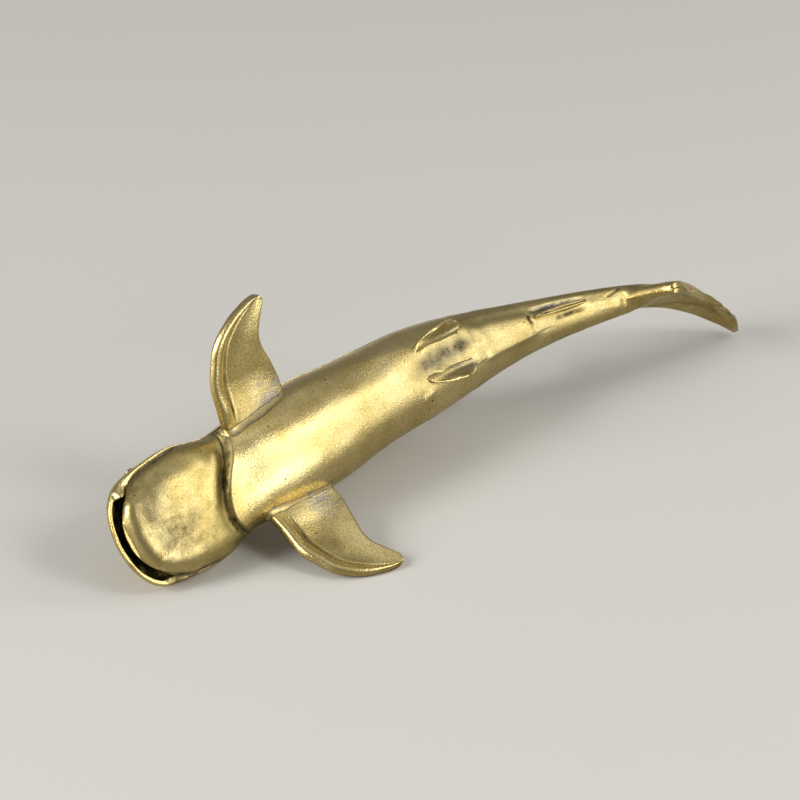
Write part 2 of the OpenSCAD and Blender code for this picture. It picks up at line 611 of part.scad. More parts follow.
// Solder fillet round a pectoral root: corner on the root, foot on the flank, top on the fin
function solder_turn(c) = 90 + 60 * (1 - ease(c * 8)) - 60 * (1 - ease((1 - c) * 8));
function solder_station(c, side, hand) =
    let(a = pectoral_point(0, c, side, hand), w = side * solder_turn(c),
        bx = a[0] + solder_leg * cos(w), bz = a[2] + solder_leg * sin(w))
    [a, [bx, hand * (flank_y(bx, bz, hand) + fit_gap), bz], pectoral_point(pectoral_first, c, side, hand)];
function solder_ring(hand) = concat(
    [for (j = [0 : fin_cols - 1]) solder_station(chord(j, fin_cols), 1, hand)],
    [for (j = [fin_cols - 1 : -1 : 0]) solder_station(chord(j, fin_cols), -1, hand)]);
module root_solder(hand) {
    ring = solder_ring(hand);
    n = len(ring);
    faces = [for (k = [0 : n - 1], e = [0 : 2], h = [0, 1])
        let(next = (k + 1) % n, f = (e + 1) % 3, a = 3 * k + e, c = 3 * next + f,
            t = h == 0 ? [a, 3 * k + f, c] : [a, c, 3 * next + e])
        hand > 0 ? t : [t[2], t[1], t[0]]];
    color("silver") polyhedron(points = flat(ring), faces = faces);
}
module right_root_solder() { root_solder(1); }
module left_root_solder() { root_solder(-1); }

// The three places that touch the table, and the axes of the resting animal
function unit(v) = v / norm(v);
function lowest(points, up) =
    let(heights = [for (p = points) p * up])
    points[search(min(heights), heights)[0]];
rim_points = concat(flat(back_upper()), flat(back_lower()));
fin_points = concat(flat(pectoral_sheet(1, 1)), flat(pectoral_sheet(-1, 1)));
dorsal_points = concat(flat(dorsal_sheet(1)), flat(dorsal_sheet(-1)));
function rest_up(up, turns) =
    let(a = lowest(rim_points, up), b = lowest(fin_points, up), c = lowest(dorsal_points, up),
        n = unit(cross(b - a, c - a)), m = n * up > 0 ? n : -n)
    turns == 0 ? m : rest_up(m, turns - 1);
rest_z = rest_up(up_guess, 4);
rest_x = unit([1, 0, 0] - rest_z[0] * rest_z);
rest_y = cross(rest_z, rest_x);
far_points = concat(rim_points, fin_points, dorsal_points, flat(pectoral_sheet(1, -1)),
    flat(pectoral_sheet(-1, -1)), flat(caudal_sheet(1)), flat(caudal_sheet(-1)));
function span(axis) = let(d = [for (p = far_points) p * axis]) [min(d), max(d)];
function middle(axis) = (span(axis)[0] + span(axis)[1]) / 2;
rest_shift = -[middle(rest_x), middle(rest_y), span(rest_z)[0]];
module posed() {
    multmatrix([[rest_x[0], rest_x[1], rest_x[2], rest_shift[0]],
        [rest_y[0], rest_y[1], rest_y[2], rest_shift[1]],
        [rest_z[0], rest_z[1], rest_z[2], rest_shift[2]],
        [0, 0, 0, 1]]) children();
}

posed() back_casting();
posed() belly_casting();
posed() jaw_plate();
posed() right_pectoral_fin();
posed() left_pectoral_fin();
posed() right_root_solder();
posed() left_root_solder();
posed() right_pelvic_fin();
posed() left_pelvic_fin();
posed() first_dorsal_fin();
posed() second_dorsal_fin();
posed() anal_fin();
posed() caudal_fin();
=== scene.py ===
"""Whale shark ornament, cast in brass from several pieces that are pinned and soft soldered together.

Every piece is worked out in the shark's own axes, in millimetres: x runs from the snout to the tail, y to the
shark's right and z to its back. Resting lays the finished points down on the table, in metres, where the
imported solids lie.
"""
import logging
import math
from dataclasses import dataclass
from enum import Enum

import bpy
import mathutils
import numpy as np
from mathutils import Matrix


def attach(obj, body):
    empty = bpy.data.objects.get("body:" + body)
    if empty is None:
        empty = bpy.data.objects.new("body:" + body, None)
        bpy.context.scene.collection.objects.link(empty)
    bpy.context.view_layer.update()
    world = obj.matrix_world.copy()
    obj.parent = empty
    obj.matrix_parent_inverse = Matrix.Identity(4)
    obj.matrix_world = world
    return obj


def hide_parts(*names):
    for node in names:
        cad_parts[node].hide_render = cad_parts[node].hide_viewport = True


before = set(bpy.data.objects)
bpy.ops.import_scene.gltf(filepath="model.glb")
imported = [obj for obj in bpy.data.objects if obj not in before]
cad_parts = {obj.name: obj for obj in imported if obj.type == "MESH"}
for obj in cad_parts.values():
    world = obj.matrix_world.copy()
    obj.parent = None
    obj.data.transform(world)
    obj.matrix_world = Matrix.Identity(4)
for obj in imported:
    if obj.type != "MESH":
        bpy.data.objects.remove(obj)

LOG = logging.getLogger("shark")
MM = 0.001
RIGHT, LEFT = 1, -1
Array = np.ndarray
Points2 = tuple[tuple[float, float], ...]
Socket = bpy.types.NodeSocket


def ease(t: Array) -> Array:
    """Smooth step 3 u^2 - 2 u^3 of t held between 0 and 1."""
    u = np.clip(t, 0.0, 1.0)
    return u * u * (3.0 - 2.0 * u)


def mix(a: Array, b: Array, t: Array) -> Array:
    """Straight mixture a + (b - a) t."""
    return a + (b - a) * t


def hump(d: Array, width: float | Array) -> Array:
    """Bell curve exp(-(d / width)^2) of a distance d."""
    return np.exp(-((d / width) ** 2))


def signed_power(v: Array, p: float | Array) -> Array:
    """sign(v) |v|^p, which turns a cosine or a sine into that of a squared-up circle."""
    return np.sign(v) * np.abs(v) ** p


def bulge(v: Array, n: float | Array) -> Array:
    """Height (1 - |v|^n)^(1/n) of a squared-up circle over v of its half width."""
    return np.clip(1.0 - np.abs(v) ** n, 0.0, 1.0) ** (1.0 / n)


def edge_round(depth: Array, radius: float | Array, least: float = 0.0) -> Array:
    """Quarter circle (1 - (1 - u)^2)^(1/2) of u = depth / radius, which is 1 from the radius inwards."""
    return np.sqrt(np.clip(1.0 - (1.0 - np.clip(depth / radius, 0.0, 1.0)) ** 2, least, 1.0))


def lens(c: Array) -> Array:
    """Thickness share of a fin at c of its chord: a blunt lens, with a third of it left at both edges."""
    return mix(0.35, 1.0, bulge(2 * c - 1, 2.4))


def both_faces(count: int) -> tuple[Array, Array]:
    """One loop round a fin, crowded at both edges as (1 - cos a) / 2.

    Args:
        count: Points on the first face.

    Returns:
        The share of the chord at each point, and 1 on the first face or -1 on the second.
    """
    c = (1 - np.cos(np.linspace(0.0, np.pi, count))) / 2
    face = np.concatenate([np.ones(count), -np.ones(count - 2)])
    return np.concatenate([c, c[::-1][1:-1]])[None, :], face[None, :]


def side_name(hand: int) -> str:
    """Which side of the shark a hand is."""
    return "right" if hand == RIGHT else "left"


def wobble(x: Array, y: Array, seed: float) -> Array:
    """Uneven surface of hand filing, the sum of six sine waves.

    Wave number k slants by 0.9 k radians and is 2.6 + 1.15 k mm long.

    Args:
        x: Distance along the piece in mm.
        y: Distance across the piece in mm.
        seed: Number that shifts the waves from piece to piece.

    Returns:
        The height share at each point, from about -1 to 1.
    """
    total = np.zeros_like(x)
    for k in range(6):
        angle = 0.9 * k + seed
        pitch = 2.6 + 1.15 * k
        along = x * np.cos(angle) + y * np.sin(angle)
        total = total + np.sin(2 * np.pi * along / pitch + 1.7 * k * k + 3.1 * seed)
    return total / 3.0


def spline(table: Points2, s: Array) -> tuple[Array, Array]:
    """Smooth curve through a short table of points: the Catmull-Rom cubic on each span.

    Args:
        table: Points as pairs.
        s: Place on the curve from 0 to 1.

    Returns:
        Both coordinates at each s.
    """
    t = np.asarray(table, float)
    p = np.clip(s, 0.0, 1.0) * (len(t) - 1)
    i = np.minimum(p.astype(int), len(t) - 2)
    u = (p - i)[..., None]
    a, b = t[np.maximum(i - 1, 0)], t[i]
    c, d = t[i + 1], t[np.minimum(i + 2, len(t) - 1)]
    r = (2 * b + (c - a) * u + (2 * a - 5 * b + 4 * c - d) * u**2 + (3 * b - a - 3 * c + d) * u**3) / 2
    return r[..., 0], r[..., 1]


def plan(lead: Points2, trail: Points2, t: Array, c: Array) -> tuple[Array, Array]:
    """Plan of a fin: a straight mixture of its leading and trailing curves.

    Args:
        lead: Leading edge from root to tip, as shares of the root and of the reach.
        trail: Trailing edge in the same shares.
        t: Share of the way from root to tip.
        c: Share of the chord.

    Returns:
        Shares of the root and of the reach.
    """
    lx, lr = spline(lead, t)
    tx, tr = spline(trail, t)
    return mix(lx, tx, c), mix(lr, tr, c)


@dataclass(frozen=True)
class Resting:
    """Directions and place of the shark's axes as it lies on its head, right pectoral fin and dorsal fin."""

    x: tuple[float, float, float] = (0.994988, 0.0808718, 0.058803)
    y: tuple[float, float, float] = (0.0, -0.588088, 0.808797)
    z: tuple[float, float, float] = (0.0999902, -0.804744, -0.585141)
    shift: tuple[float, float, float] = (-50.8742, 2.49169, 6.47226)

    def matrix(self) -> Array:
        """Rows are the row frame's axes, written in the shark's own."""
        return np.array([self.x, self.y, self.z])

    def to_row(self, points: Array) -> Array:
        """Points of the shark's own axes in mm, as points of the row frame in metres."""
        return (points @ self.matrix().T + np.array(self.shift)) * MM

    def turn(self, directions: Array) -> Array:
        """Directions of the shark's own axes, in the row frame."""
        return directions @ self.matrix().T


REST = Resting()


@dataclass(frozen=True)
class Form:
    """The shark's body: its section at each distance behind the snout, and the bend of its rear half.

    Lengths are in mm. A name that ends in share is a share of the body's length, or of the size that its
    method multiplies it with.
    """

    body_len: float = 82.8
    head_w: float = 15.9
    back_h: float = 7.3
    belly_h: float = 6.2
    jaw_h: float = 4.4
    bend_r: float = 170.0
    bend_share: float = 0.459
    tail_lift: float = 2.1
    lift_share: float = 0.67
    belly_end_share: float = 0.693
    nose_share: float = 0.064
    jaw_nose_share: float = 0.084
    nose_square: float = 2.15
    nose_rise: float = 0.8
    land: float = 0.3
    rim_w: float = 0.6
    rim_lip: float = 0.5
    rim_drop: float = 0.5
    rim_end_share: float = 0.127
    rim_run_share: float = 0.045
    seam_inset: float = 0.12
    filed_inset: float = 0.02
    filed_from: float = 30.0
    filed_over: float = 20.0
    flush_from: float = 38.0
    flush_over: float = 16.0
    jaw_setback: float = 0.9
    mouth_gap: float = 1.2
    mouth_depth: float = 6.0
    mouth_left: float = 5.3
    mouth_right: float = 6.1
    mouth_roof_share: float = 0.42
    mouth_shut_share: float = 0.27
    mouth_corner_share: float = 0.2
    lip_share: float = 0.3
    crease_share: float = 0.1
    brow_share: float = 0.2
    collar_x: float = 13.9
    collar_left: float = 4.8
    collar_right: float = 2.0
    collar_lead: float = 0.5
    collar_powers: tuple[float, float] = (1.2, 1.6)
    stations: tuple[float, ...] = (
        0, 0.055, 0.096, 0.145, 0.182, 0.217, 0.266, 0.338, 0.399,
        0.459, 0.532, 0.604, 0.689, 0.773, 0.857, 0.95, 1)
    widths: tuple[float, ...] = (
        0.906, 0.92, 0.96, 0.985, 0.89, 0.818, 0.855, 0.906, 0.9,
        0.83, 0.785, 0.755, 0.645, 0.5, 0.385, 0.295, 0.245)
    backs: tuple[float, ...] = (
        0.07, 0.44, 0.62, 0.75, 0.82, 0.88, 0.93, 0.986, 1,
        0.986, 0.945, 0.877, 0.753, 0.616, 0.48, 0.342, 0.274)
    bellies: tuple[float, ...] = (
        0.6, 0.65, 0.69, 0.7, 0.7, 0.75, 0.87, 0.984, 1,
        0.968, 0.887, 0.79, 0.661, 0.532, 0.42, 0.323, 0.28)
    jaws: tuple[float, ...] = (0.6, 0.86, 0.97, 0.98, 0.9) + (0.85,) * 12
    squares: tuple[float, ...] = (2.2, 2.4, 2.7, 2.8, 2.6, 2.3, 2.2, 2.1, 2.1, 2.1, 2.1, 2.1, 2, 2, 2, 2, 2)

    def along(self, table: tuple[float, ...], x: Array) -> Array:
        """Value of a table of shares at x, on the cubic that joins the stations with averaged slopes.

        Args:
            table: One share for each station.
            x: Distances behind the snout in mm.

        Returns:
            The share at each distance.
        """
        st, v = np.asarray(self.stations), np.asarray(table)
        s = np.clip(np.asarray(x, float) / self.body_len, 0.0, 1.0)
        i = np.clip(np.searchsorted(st, s, side="right") - 1, 0, len(st) - 2)
        low, high = np.maximum(np.arange(len(st)) - 1, 0), np.minimum(np.arange(len(st)) + 1, len(st) - 1)
        slope = (v[high] - v[low]) / (st[high] - st[low])
        h = st[i + 1] - st[i]
        u = (s - st[i]) / h
        return (v[i] * (2 * u**3 - 3 * u**2 + 1) + slope[i] * h * (u**3 - 2 * u**2 + u)
                + v[i + 1] * (3 * u**2 - 2 * u**3) + slope[i + 1] * h * (u**3 - u**2))

    def nose(self, x: Array) -> Array:
        """Rounded front of the snout or jaw, (1 - (1 - u)^p)^(1/p) of the nose's length."""
        u = np.clip(x / self.body_len / self.nose_share, 0.0, 1.0)
        return (1.0 - (1.0 - u) ** self.nose_square) ** (1.0 / self.nose_square)

    def full_w(self, x: Array) -> Array:
        """Half width at x without the rounding of the nose."""
        return self.head_w / 2 * self.along(self.widths, x)

    def half_w(self, x: Array) -> Array:
        """Half width of the back casting at x."""
        return self.full_w(x) * self.nose(x)

    def back_z(self, x: Array) -> Array:
        """Height of the back above the seam at x."""
        return self.back_h * self.along(self.backs, x) * self.nose(x) ** self.nose_rise

    def belly_z(self, x: Array) -> Array:
        """Depth of the belly below the seam at x."""
        return self.belly_h * self.along(self.bellies, x)

    def square(self, x: Array) -> Array:
        """How square the section is at x, 2 for an ellipse."""
        return self.along(self.squares, x)

    def rim_fade(self, x: Array) -> Array:
        """0 along the mouth's rim, 1 where it has run out into the seam behind the head."""
        return ease((x / self.body_len - self.rim_end_share) / self.rim_run_share)

    def inset(self, x: Array) -> Array:
        """How far the belly casting stands in from the back casting, filed flush at its rear end."""
        return mix(self.seam_inset, self.filed_inset, ease((x - self.filed_from) / self.filed_over))

    def rim_at(self, x: Array) -> Array:
        """Width of the rim beside the jaw plate at x."""
        return mix(self.rim_w, self.inset(x), self.rim_fade(x))

    def rim_z(self, x: Array) -> Array:
        """Depth of the rim below the seam at x."""
        return mix(self.rim_drop, self.land, self.rim_fade(x))

    def cavity_w(self, x: Array) -> Array:
        """Half width of the mouth cavity at x."""
        lip = mix(self.rim_lip, self.rim_at(x), ease(x / self.mouth_depth))
        return (self.full_w(x) - lip) * self.nose(x - self.rim_lip)

    def roof_z(self, x: Array) -> Array:
        """Height of the mouth's roof, shutting down to the seam at the back of the mouth.

        Args:
            x: Distance behind the snout.

        Returns:
            The roof's z.
        """
        run = self.mouth_depth * self.mouth_shut_share
        shut = ease((x - self.mouth_depth + run) / run)
        return mix(self.mouth_gap * self.mouth_roof_share, -self.land, shut)

    def floor_z(self, x: Array, v: Array) -> Array:
        """Height of the mouth's floor, the jaw plate's upper face, which rises to the seam behind it.

        Args:
            x: Distance behind the snout.
            v: Place across, as a share of the half width.

        Returns:
            The floor's z.
        """
        run = self.mouth_depth * self.mouth_shut_share
        corner = self.mouth_depth * (1 - self.mouth_shut_share - self.mouth_corner_share * np.abs(v) ** 4)
        return -mix(self.mouth_gap, self.land, ease((x - corner) / run))

    def jaw_w(self, x: Array) -> Array:
        """Half width of the jaw plate and the belly casting at x: a quarter ellipse in front."""
        u = np.clip((x - self.jaw_setback) / (self.body_len * self.jaw_nose_share), 0.0, 1.0)
        return (self.full_w(x) - self.rim_at(x)) * np.sqrt(1 - (1 - u) ** 2)

    def jaw_deep(self, x: Array) -> Array:
        """Depth of the jaw plate at x."""
        return self.jaw_h * self.along(self.jaws, x) * self.nose(x - self.jaw_setback) ** self.nose_rise

    def collar_at(self, v: Array) -> Array:
        """Distance of the collar behind the snout at v of the half width, furthest forward to the right.

        Args:
            v: Place across, as a share of the half width.

        Returns:
            The collar's distance.
        """
        lead = self.collar_lead
        left = ease((lead - v) / (1 + lead)) ** self.collar_powers[0]
        right = np.clip((v - lead) / (1 - lead), 0.0, None) ** self.collar_powers[1]
        return self.collar_x + np.where(v < lead, self.collar_left * left, self.collar_right * right)

    def behind_collar(self, x: Array, y: Array) -> Array:
        """How far the point at x and y lies behind the collar, negative on the jaw."""
        return x - self.collar_at(np.clip(y / self.jaw_w(x), -1.0, 1.0))

    @property
    def belly_end(self) -> float:
        """Distance from the snout to the rear end of the belly casting."""
        return self.body_len * self.belly_end_share

    @property
    def lip(self) -> float:
        """Thickness of the jaw's lip."""
        return self.lip_share * self.mouth_gap

    def edge_at(self, x: Array) -> Array:
        """Depth at which the belly starts to swell, filed down to the land towards the tail stock."""
        return mix(self.land + self.lip, self.land, ease((x - self.flush_from) / self.flush_over))

    def belly_deep(self, x: Array, v: Array) -> Array:
        """Depth of the belly casting at x and v, rounded over a quarter ellipse at its front edge.

        Args:
            x: Distance behind the snout.
            v: Place across, as a share of the half width.

        Returns:
            The depth below the seam.
        """
        xc = self.collar_at(v)
        start = np.maximum(self.jaw_deep(xc) - self.crease_share * self.jaw_h, self.land + self.lip)
        rise = 1.0 - (1.0 - np.clip((x - xc) / (self.brow_share * self.jaw_h), 0.0, 1.0)) ** 2.0
        return mix(start, self.belly_z(x), rise)

    def belly_at(self, x: Array, y: Array) -> Array:
        """z of the belly's surface at x and y.

        Args:
            x: Distance behind the snout.
            y: Distance to the right of the axis.

        Returns:
            The surface's z.
        """
        v = np.clip(y / self.jaw_w(x), -1.0, 1.0)
        edge = self.edge_at(x)
        return -edge - (self.belly_deep(x, v) - edge) * bulge(v, self.square(x))

    def flank_y(self, x: Array, z: Array, hand: int) -> Array:
        """Half width of the belly casting on one side, with its depth taken at 0.9 of the width.

        Args:
            x: Distance behind the snout.
            z: Height above the seam.
            hand: RIGHT or LEFT.

        Returns:
            The half width.
        """
        edge = self.edge_at(x)
        q = np.clip((-z - edge) / (self.belly_deep(x, np.full_like(x, 0.9 * hand)) - edge), 0.0, 1.0)
        return self.jaw_w(x) * bulge(q, self.square(x))

    def back_at(self, x: Array, y: Array) -> Array:
        """z of the back's surface at x and y."""
        return self.back_z(x) * bulge(np.clip(y / self.half_w(x), -1, 1), self.square(x))

    def tail_at(self, x: Array, y: Array) -> Array:
        """z of the tail stock's underside at x and y."""
        swell = bulge(np.clip(y / self.half_w(x), -1, 1), self.square(x))
        return -self.land - (self.belly_z(x) - self.land) * swell

    def side_y(self, x: Array, z: Array) -> Array:
        """Half width of the back casting at x and height z."""
        return self.half_w(x) * bulge(z / self.back_z(x), self.square(x))

    def on_axis(self, x: Array, y: Array, z: Array) -> Array:
        """Points beside the body's axis, which runs straight and then bends to the right on one arc.

        Args:
            x: Distance along the axis.
            y: Distance to the right of it.
            z: Height above it.

        Returns:
            Points with their three coordinates last.
        """
        bend_x = self.body_len * self.bend_share
        a = np.maximum(x - bend_x, 0.0) / self.bend_r
        return np.stack([np.minimum(x, bend_x) + self.bend_r * np.sin(a) - y * np.sin(a),
                         self.bend_r * (1 - np.cos(a)) + y * np.cos(a), z - self.lift_at(x)], axis=-1)

    def lift_at(self, x: Array) -> Array:
        """How far the axis has lifted towards the belly side at x, with the square of the distance."""
        start = self.body_len * self.lift_share
        return self.tail_lift * (np.maximum(x - start, 0.0) / (self.body_len - start)) ** 2


FORM = Form()


class Cut(Enum):
    """Cross-section of a line worked into a surface."""

    ROUND = "round"
    STEP = "step"


@dataclass(frozen=True)
class Stroke:
    """A line, ridge, groove, hollow or lump worked into a casting, drawn in the body's x and y in mm.

    A positive height stands out of the surface. dirt is how much dark oxide lies in it and grey how much grey
    metal is smeared there. It dies away over fade at both ends.
    """

    path: Points2
    width: float
    height: float
    cut: Cut = Cut.ROUND
    dirt: float = 0.0
    grey: float = 0.0
    fade: float = 1.0
    steep_share: float = 0.22
    end_share: float = 0.35

    def weight(self, x: Array, y: Array) -> Array:
        """Share exp(-(d/w)^2) of the stroke at a distance d from it.

        Beyond a step's edge w is much less. The ends fade over a smooth step.

        Args:
            x: Distances behind the snout.
            y: Distances to the right of the axis.

        Returns:
            The share, from 0 to 1.
        """
        best = np.full(x.shape, 1e9)
        place = np.zeros(x.shape)
        side = np.zeros(x.shape)
        done = 0.0
        pts = np.asarray(self.path, float)
        for a, b in zip(pts[:-1], pts[1:]):
            run = b - a
            length = max(float(np.hypot(*run)), 1e-6)
            u = np.clip(((x - a[0]) * run[0] + (y - a[1]) * run[1]) / length**2, 0.0, 1.0)
            dx, dy = x - a[0] - u * run[0], y - a[1] - u * run[1]
            d = np.hypot(dx, dy)
            near = d < best
            best = np.where(near, d, best)
            place = np.where(near, done + u * length, place)
            side = np.where(near, np.sign(run[0] * dy - run[1] * dx), side)
            done += length
        over = self.end_share * self.fade
        ends = ease((place + over) / self.fade) * ease((done - place + over) / self.fade)
        steep = (side <= 0) & (self.cut is Cut.STEP)
        return ends * hump(best, np.where(steep, self.steep_share * self.width, self.width))


@dataclass(frozen=True)
class Relief:
    """All the strokes worked into one surface."""

    strokes: tuple[Stroke, ...]

    def read(self, x: Array, y: Array) -> tuple[Array, Array, Array]:
        """Adds up all the strokes at each point.

        Args:
            x: Distances behind the snout.
            y: Distances to the right of the axis.

        Returns:
            Height in mm, oxide share and grey share.
        """
        height, dirt, grey = np.zeros(x.shape), np.zeros(x.shape), np.zeros(x.shape)
        for stroke in self.strokes:
            w = stroke.weight(x, y)
            height = height + stroke.height * w
            dirt = dirt + stroke.dirt * w
            grey = grey + stroke.grey * w
        return height, dirt, grey


THROAT = Relief((
    # Lip of the jaw, and the two hollows behind it
    Stroke(((3.4, -5.0), (2.5, -3.0), (2.2, 0.0), (2.6, 2.6), (3.6, 4.5)), 0.95, 0.4, fade=2.0),
    Stroke(((5.2, -1.0), (5.1, 1.0), (5.7, 2.8)), 2.2, -0.44, dirt=0.22, fade=2.5),
    Stroke(((7.6, -0.6), (7.6, 1.4), (8.0, 3.0)), 2.0, -0.34, dirt=0.14, fade=2.5),
    # Left arm of the throat's shallow bow
    Stroke(((5.1, -3.4), (6.6, -2.9), (8.3, -2.6), (10.4, -2.1)), 0.9, 0.1, fade=2.0),
    # Darker patches over the middle and the right side
    Stroke(((6.2, 1.4), (8.4, 1.8), (11.6, 2.4)), 3.2, 0.0, dirt=0.13, fade=2.5),
    Stroke(((7.6, 5.0), (10.0, 5.0), (13.0, 4.6)), 2.0, 0.0, dirt=0.13, fade=2.5),
    # Soft ridge to the right and a filed groove to the left
    Stroke(((3.8, 4.8), (5.6, 5.0), (7.4, 5.1), (9.4, 5.0)), 1.0, 0.08, fade=2.5),
    Stroke(((6.0, -5.3), (8.2, -5.7), (10.8, -5.7), (13.4, -5.3)), 0.8, -0.07, dirt=0.2, fade=2.5),
    # Swelling in front of the collar
    Stroke(((16.4, -5.2), (15.0, -3.2), (13.5, -1.0), (12.5, 0.6), (11.9, 1.6)), 1.1, 0.26, fade=2.0),
))

UNDERSIDE = Relief((
    # Long hollow and long ridge on the belly's left flank
    Stroke(((20.5, -5.7), (24.0, -5.4), (28.5, -4.8), (34.0, -4.0), (40.0, -3.3), (45.0, -2.9)), 1.4, -0.13,
           dirt=0.1, fade=8.0),
    Stroke(((28.0, -6.4), (36.4, -5.9), (41.0, -5.2), (46.6, -4.4)), 0.8, 0.12, fade=5.0),
    # Small lump in front of the right pelvic fin
    Stroke(((46.5, 3.3), (47.6, 3.1), (48.4, 2.7)), 0.6, 0.12, fade=0.8),
    # Tarnished hollow between the pelvic fins, the fins' roots and the lump behind them
    Stroke(((47.0, -0.5), (50.0, -0.8), (53.0, -1.0), (57.6, -1.3)), 1.2, -0.3, dirt=0.72, grey=0.5,
           fade=5.0),
    Stroke(((49.6, 0.9), (52.5, 1.4), (56.2, 1.3)), 0.7, 0.26, fade=1.6),
    Stroke(((49.0, -2.5), (52.5, -3.1), (56.0, -3.1)), 0.7, 0.26, fade=1.6),
    Stroke(((57.6, -2.6), (58.9, -1.7), (59.0, -0.6), (58.2, 0.6)), 0.9, 0.12, fade=1.2),
    # Flat face filed on the right of the tail stock
    Stroke(((67.8, 1.1), (65.3, 1.3), (61.5, 1.6), (58.8, 1.9)), 2.2, 0.34, Cut.STEP, fade=2.0),
    # Scratches at the hollow's rear end, then the hollow and the ridge on the tail stock's left
    Stroke(((54.4, -0.9), (56.0, -1.1), (57.2, -1.2)), 0.6, -0.08, dirt=0.16, fade=2.0),
    Stroke(((58.6, -3.2), (62.7, -2.8), (66.8, -2.2), (69.2, -1.9)), 0.7, -0.12, dirt=0.15, fade=2.5),
    Stroke(((60.0, -4.4), (66.0, -3.6), (72.0, -2.7), (78.9, -1.9), (82.6, -1.6)), 0.7, 0.12, fade=3.0),
    # Outline scored round the anal ridge: left, front and right
    Stroke(((68.2, -1.85), (72.0, -1.7), (75.0, -1.5), (76.6, -1.35)), 0.3, -0.2, dirt=0.5, grey=0.9),
    Stroke(((67.6, -1.7), (67.4, -1.0), (67.6, -0.2)), 0.25, -0.16, dirt=0.8, fade=0.5),
    Stroke(((71.6, 0.1), (74.0, 0.0), (76.4, -0.1)), 0.3, -0.14, dirt=0.7),
    # Ridge in front of the tail fin, and the line of its joint
    Stroke(((77.2, -0.4), (79.0, 0.0), (81.0, 0.3), (82.4, 0.3)), 0.8, 0.16, fade=1.2),
    Stroke(((82.8, -1.6), (81.5, -1.2), (80.2, -0.8)), 0.16, -0.08, dirt=0.6, fade=0.6),
))


def normals_of(grid: Array) -> Array:
    """Outward directions of a grid that is closed in its second index.

    Each is the cross product of the grid's two differences there.

    Args:
        grid: Loops of points, shape (rows, points, 3).

    Returns:
        A unit direction at each point.
    """
    along = np.gradient(grid, axis=0)
    around = np.roll(grid, -1, axis=1) - np.roll(grid, 1, axis=1)
    n = np.cross(along, around)
    n = n / np.maximum(np.linalg.norm(n, axis=-1, keepdims=True), 1e-9)
    out = grid - grid.mean(axis=1, keepdims=True)
    return n * np.where(np.sum(n * out) < 0, -1.0, 1.0)


def soften(grid: Array, times: int, rows: slice, along_too: bool = True) -> Array:
    """Rounds the corners of a looped grid: each pass takes 1/4, 1/2, 1/4 of a point and its neighbours.

    Args:
        grid: Loops of points.
        times: Number of passes.
        rows: The loops that are rounded.
        along_too: Whether to round along the piece too, not only round it.

    Returns:
        The rounded grid.
    """
    g = grid.copy()
    for _ in range(times):
        part = g[rows]
        part = 0.5 * part + 0.25 * (np.roll(part, 1, axis=1) + np.roll(part, -1, axis=1))
        if along_too and part.shape[0] > 2:
            inner = 0.5 * part[1:-1] + 0.25 * (part[:-2] + part[2:])
            part = np.concatenate([part[:1], inner, part[-1:]])
        g[rows] = part
    return g


def with_edges(rows: Array, share: float = 0.04) -> Array:
    """Adds one row close beside each end row, which keeps an end face's shading off the sides.

    Args:
        rows: Loops of points, or values on them.
        share: Distance of the new row, as a share of the first gap.

    Returns:
        The longer array.
    """
    first = rows[:1] + share * (rows[1:2] - rows[:1])
    last = rows[-1:] + share * (rows[-2:-1] - rows[-1:])
    return np.concatenate([rows[:1], first, rows[1:-1], last, rows[-1:]])


def loft(name: str, grid: Array, marks: dict[str, Array], cap_rings: int = 3) -> bpy.types.Object:
    """Makes a closed shell from loops of points, with both ends drawn together to a middle point.

    Args:
        name: The piece's name.
        grid: Loops as rows of points in the shark's axes in mm, shape (rows, points, 3).
        marks: Oxide and painted shade, and grey, as shares at each point, kept as attributes for the finish.
        cap_rings: Rings between an end loop and its middle point.

    Returns:
        The new object, at the origin, with its place in its mesh.
    """
    grid = with_edges(grid)
    marks = {key: with_edges(value) for key, value in marks.items()}
    shares = np.linspace(1.0, 0.0, cap_rings + 2)[1:-1]
    mids = [row.mean(axis=0) for row in (grid[0], grid[-1])]
    caps = [[mid + (row - mid) * s for s in shares] for mid, row in zip(mids, (grid[0], grid[-1]))]
    loops = np.stack(caps[0][::-1] + list(grid) + caps[1])
    n, m = loops.shape[:2]
    index = np.arange(n * m).reshape(n, m)
    nxt = np.roll(index, -1, axis=1)
    quads = np.stack([index[:-1], nxt[:-1], nxt[1:], index[1:]], axis=-1).reshape(-1, 4)
    start = np.stack([np.full(m, n * m), nxt[0], index[0]], axis=-1)
    stop = np.stack([np.full(m, n * m + 1), index[-1], nxt[-1]], axis=-1)
    points = np.concatenate([loops.reshape(-1, 3), mids])
    a, b, c, d = (points[quads[:, k]] for k in range(4))
    volume = np.sum(np.cross(b - a, c - a) * a) + np.sum(np.cross(c - a, d - a) * a)
    if volume < 0:
        quads, start, stop = quads[:, ::-1], start[:, ::-1], stop[:, ::-1]
    mesh = bpy.data.meshes.new(name)
    mesh.from_pydata(REST.to_row(points).tolist(), [], quads.tolist() + start.tolist() + stop.tolist())
    mesh.shade_smooth()
    for key, value in marks.items():
        full = np.concatenate([np.repeat(value[:1], cap_rings, axis=0), value,
                               np.repeat(value[-1:], cap_rings, axis=0)]).reshape(-1)
        full = np.concatenate([full, [value[0].mean(), value[-1].mean()]])
        mesh.attributes.new(key, "FLOAT", "POINT").data.foreach_set("value", full.astype(np.float32))
    mesh.validate()
    obj = bpy.data.objects.new(name, mesh)
    bpy.context.collection.objects.link(obj)
    return obj


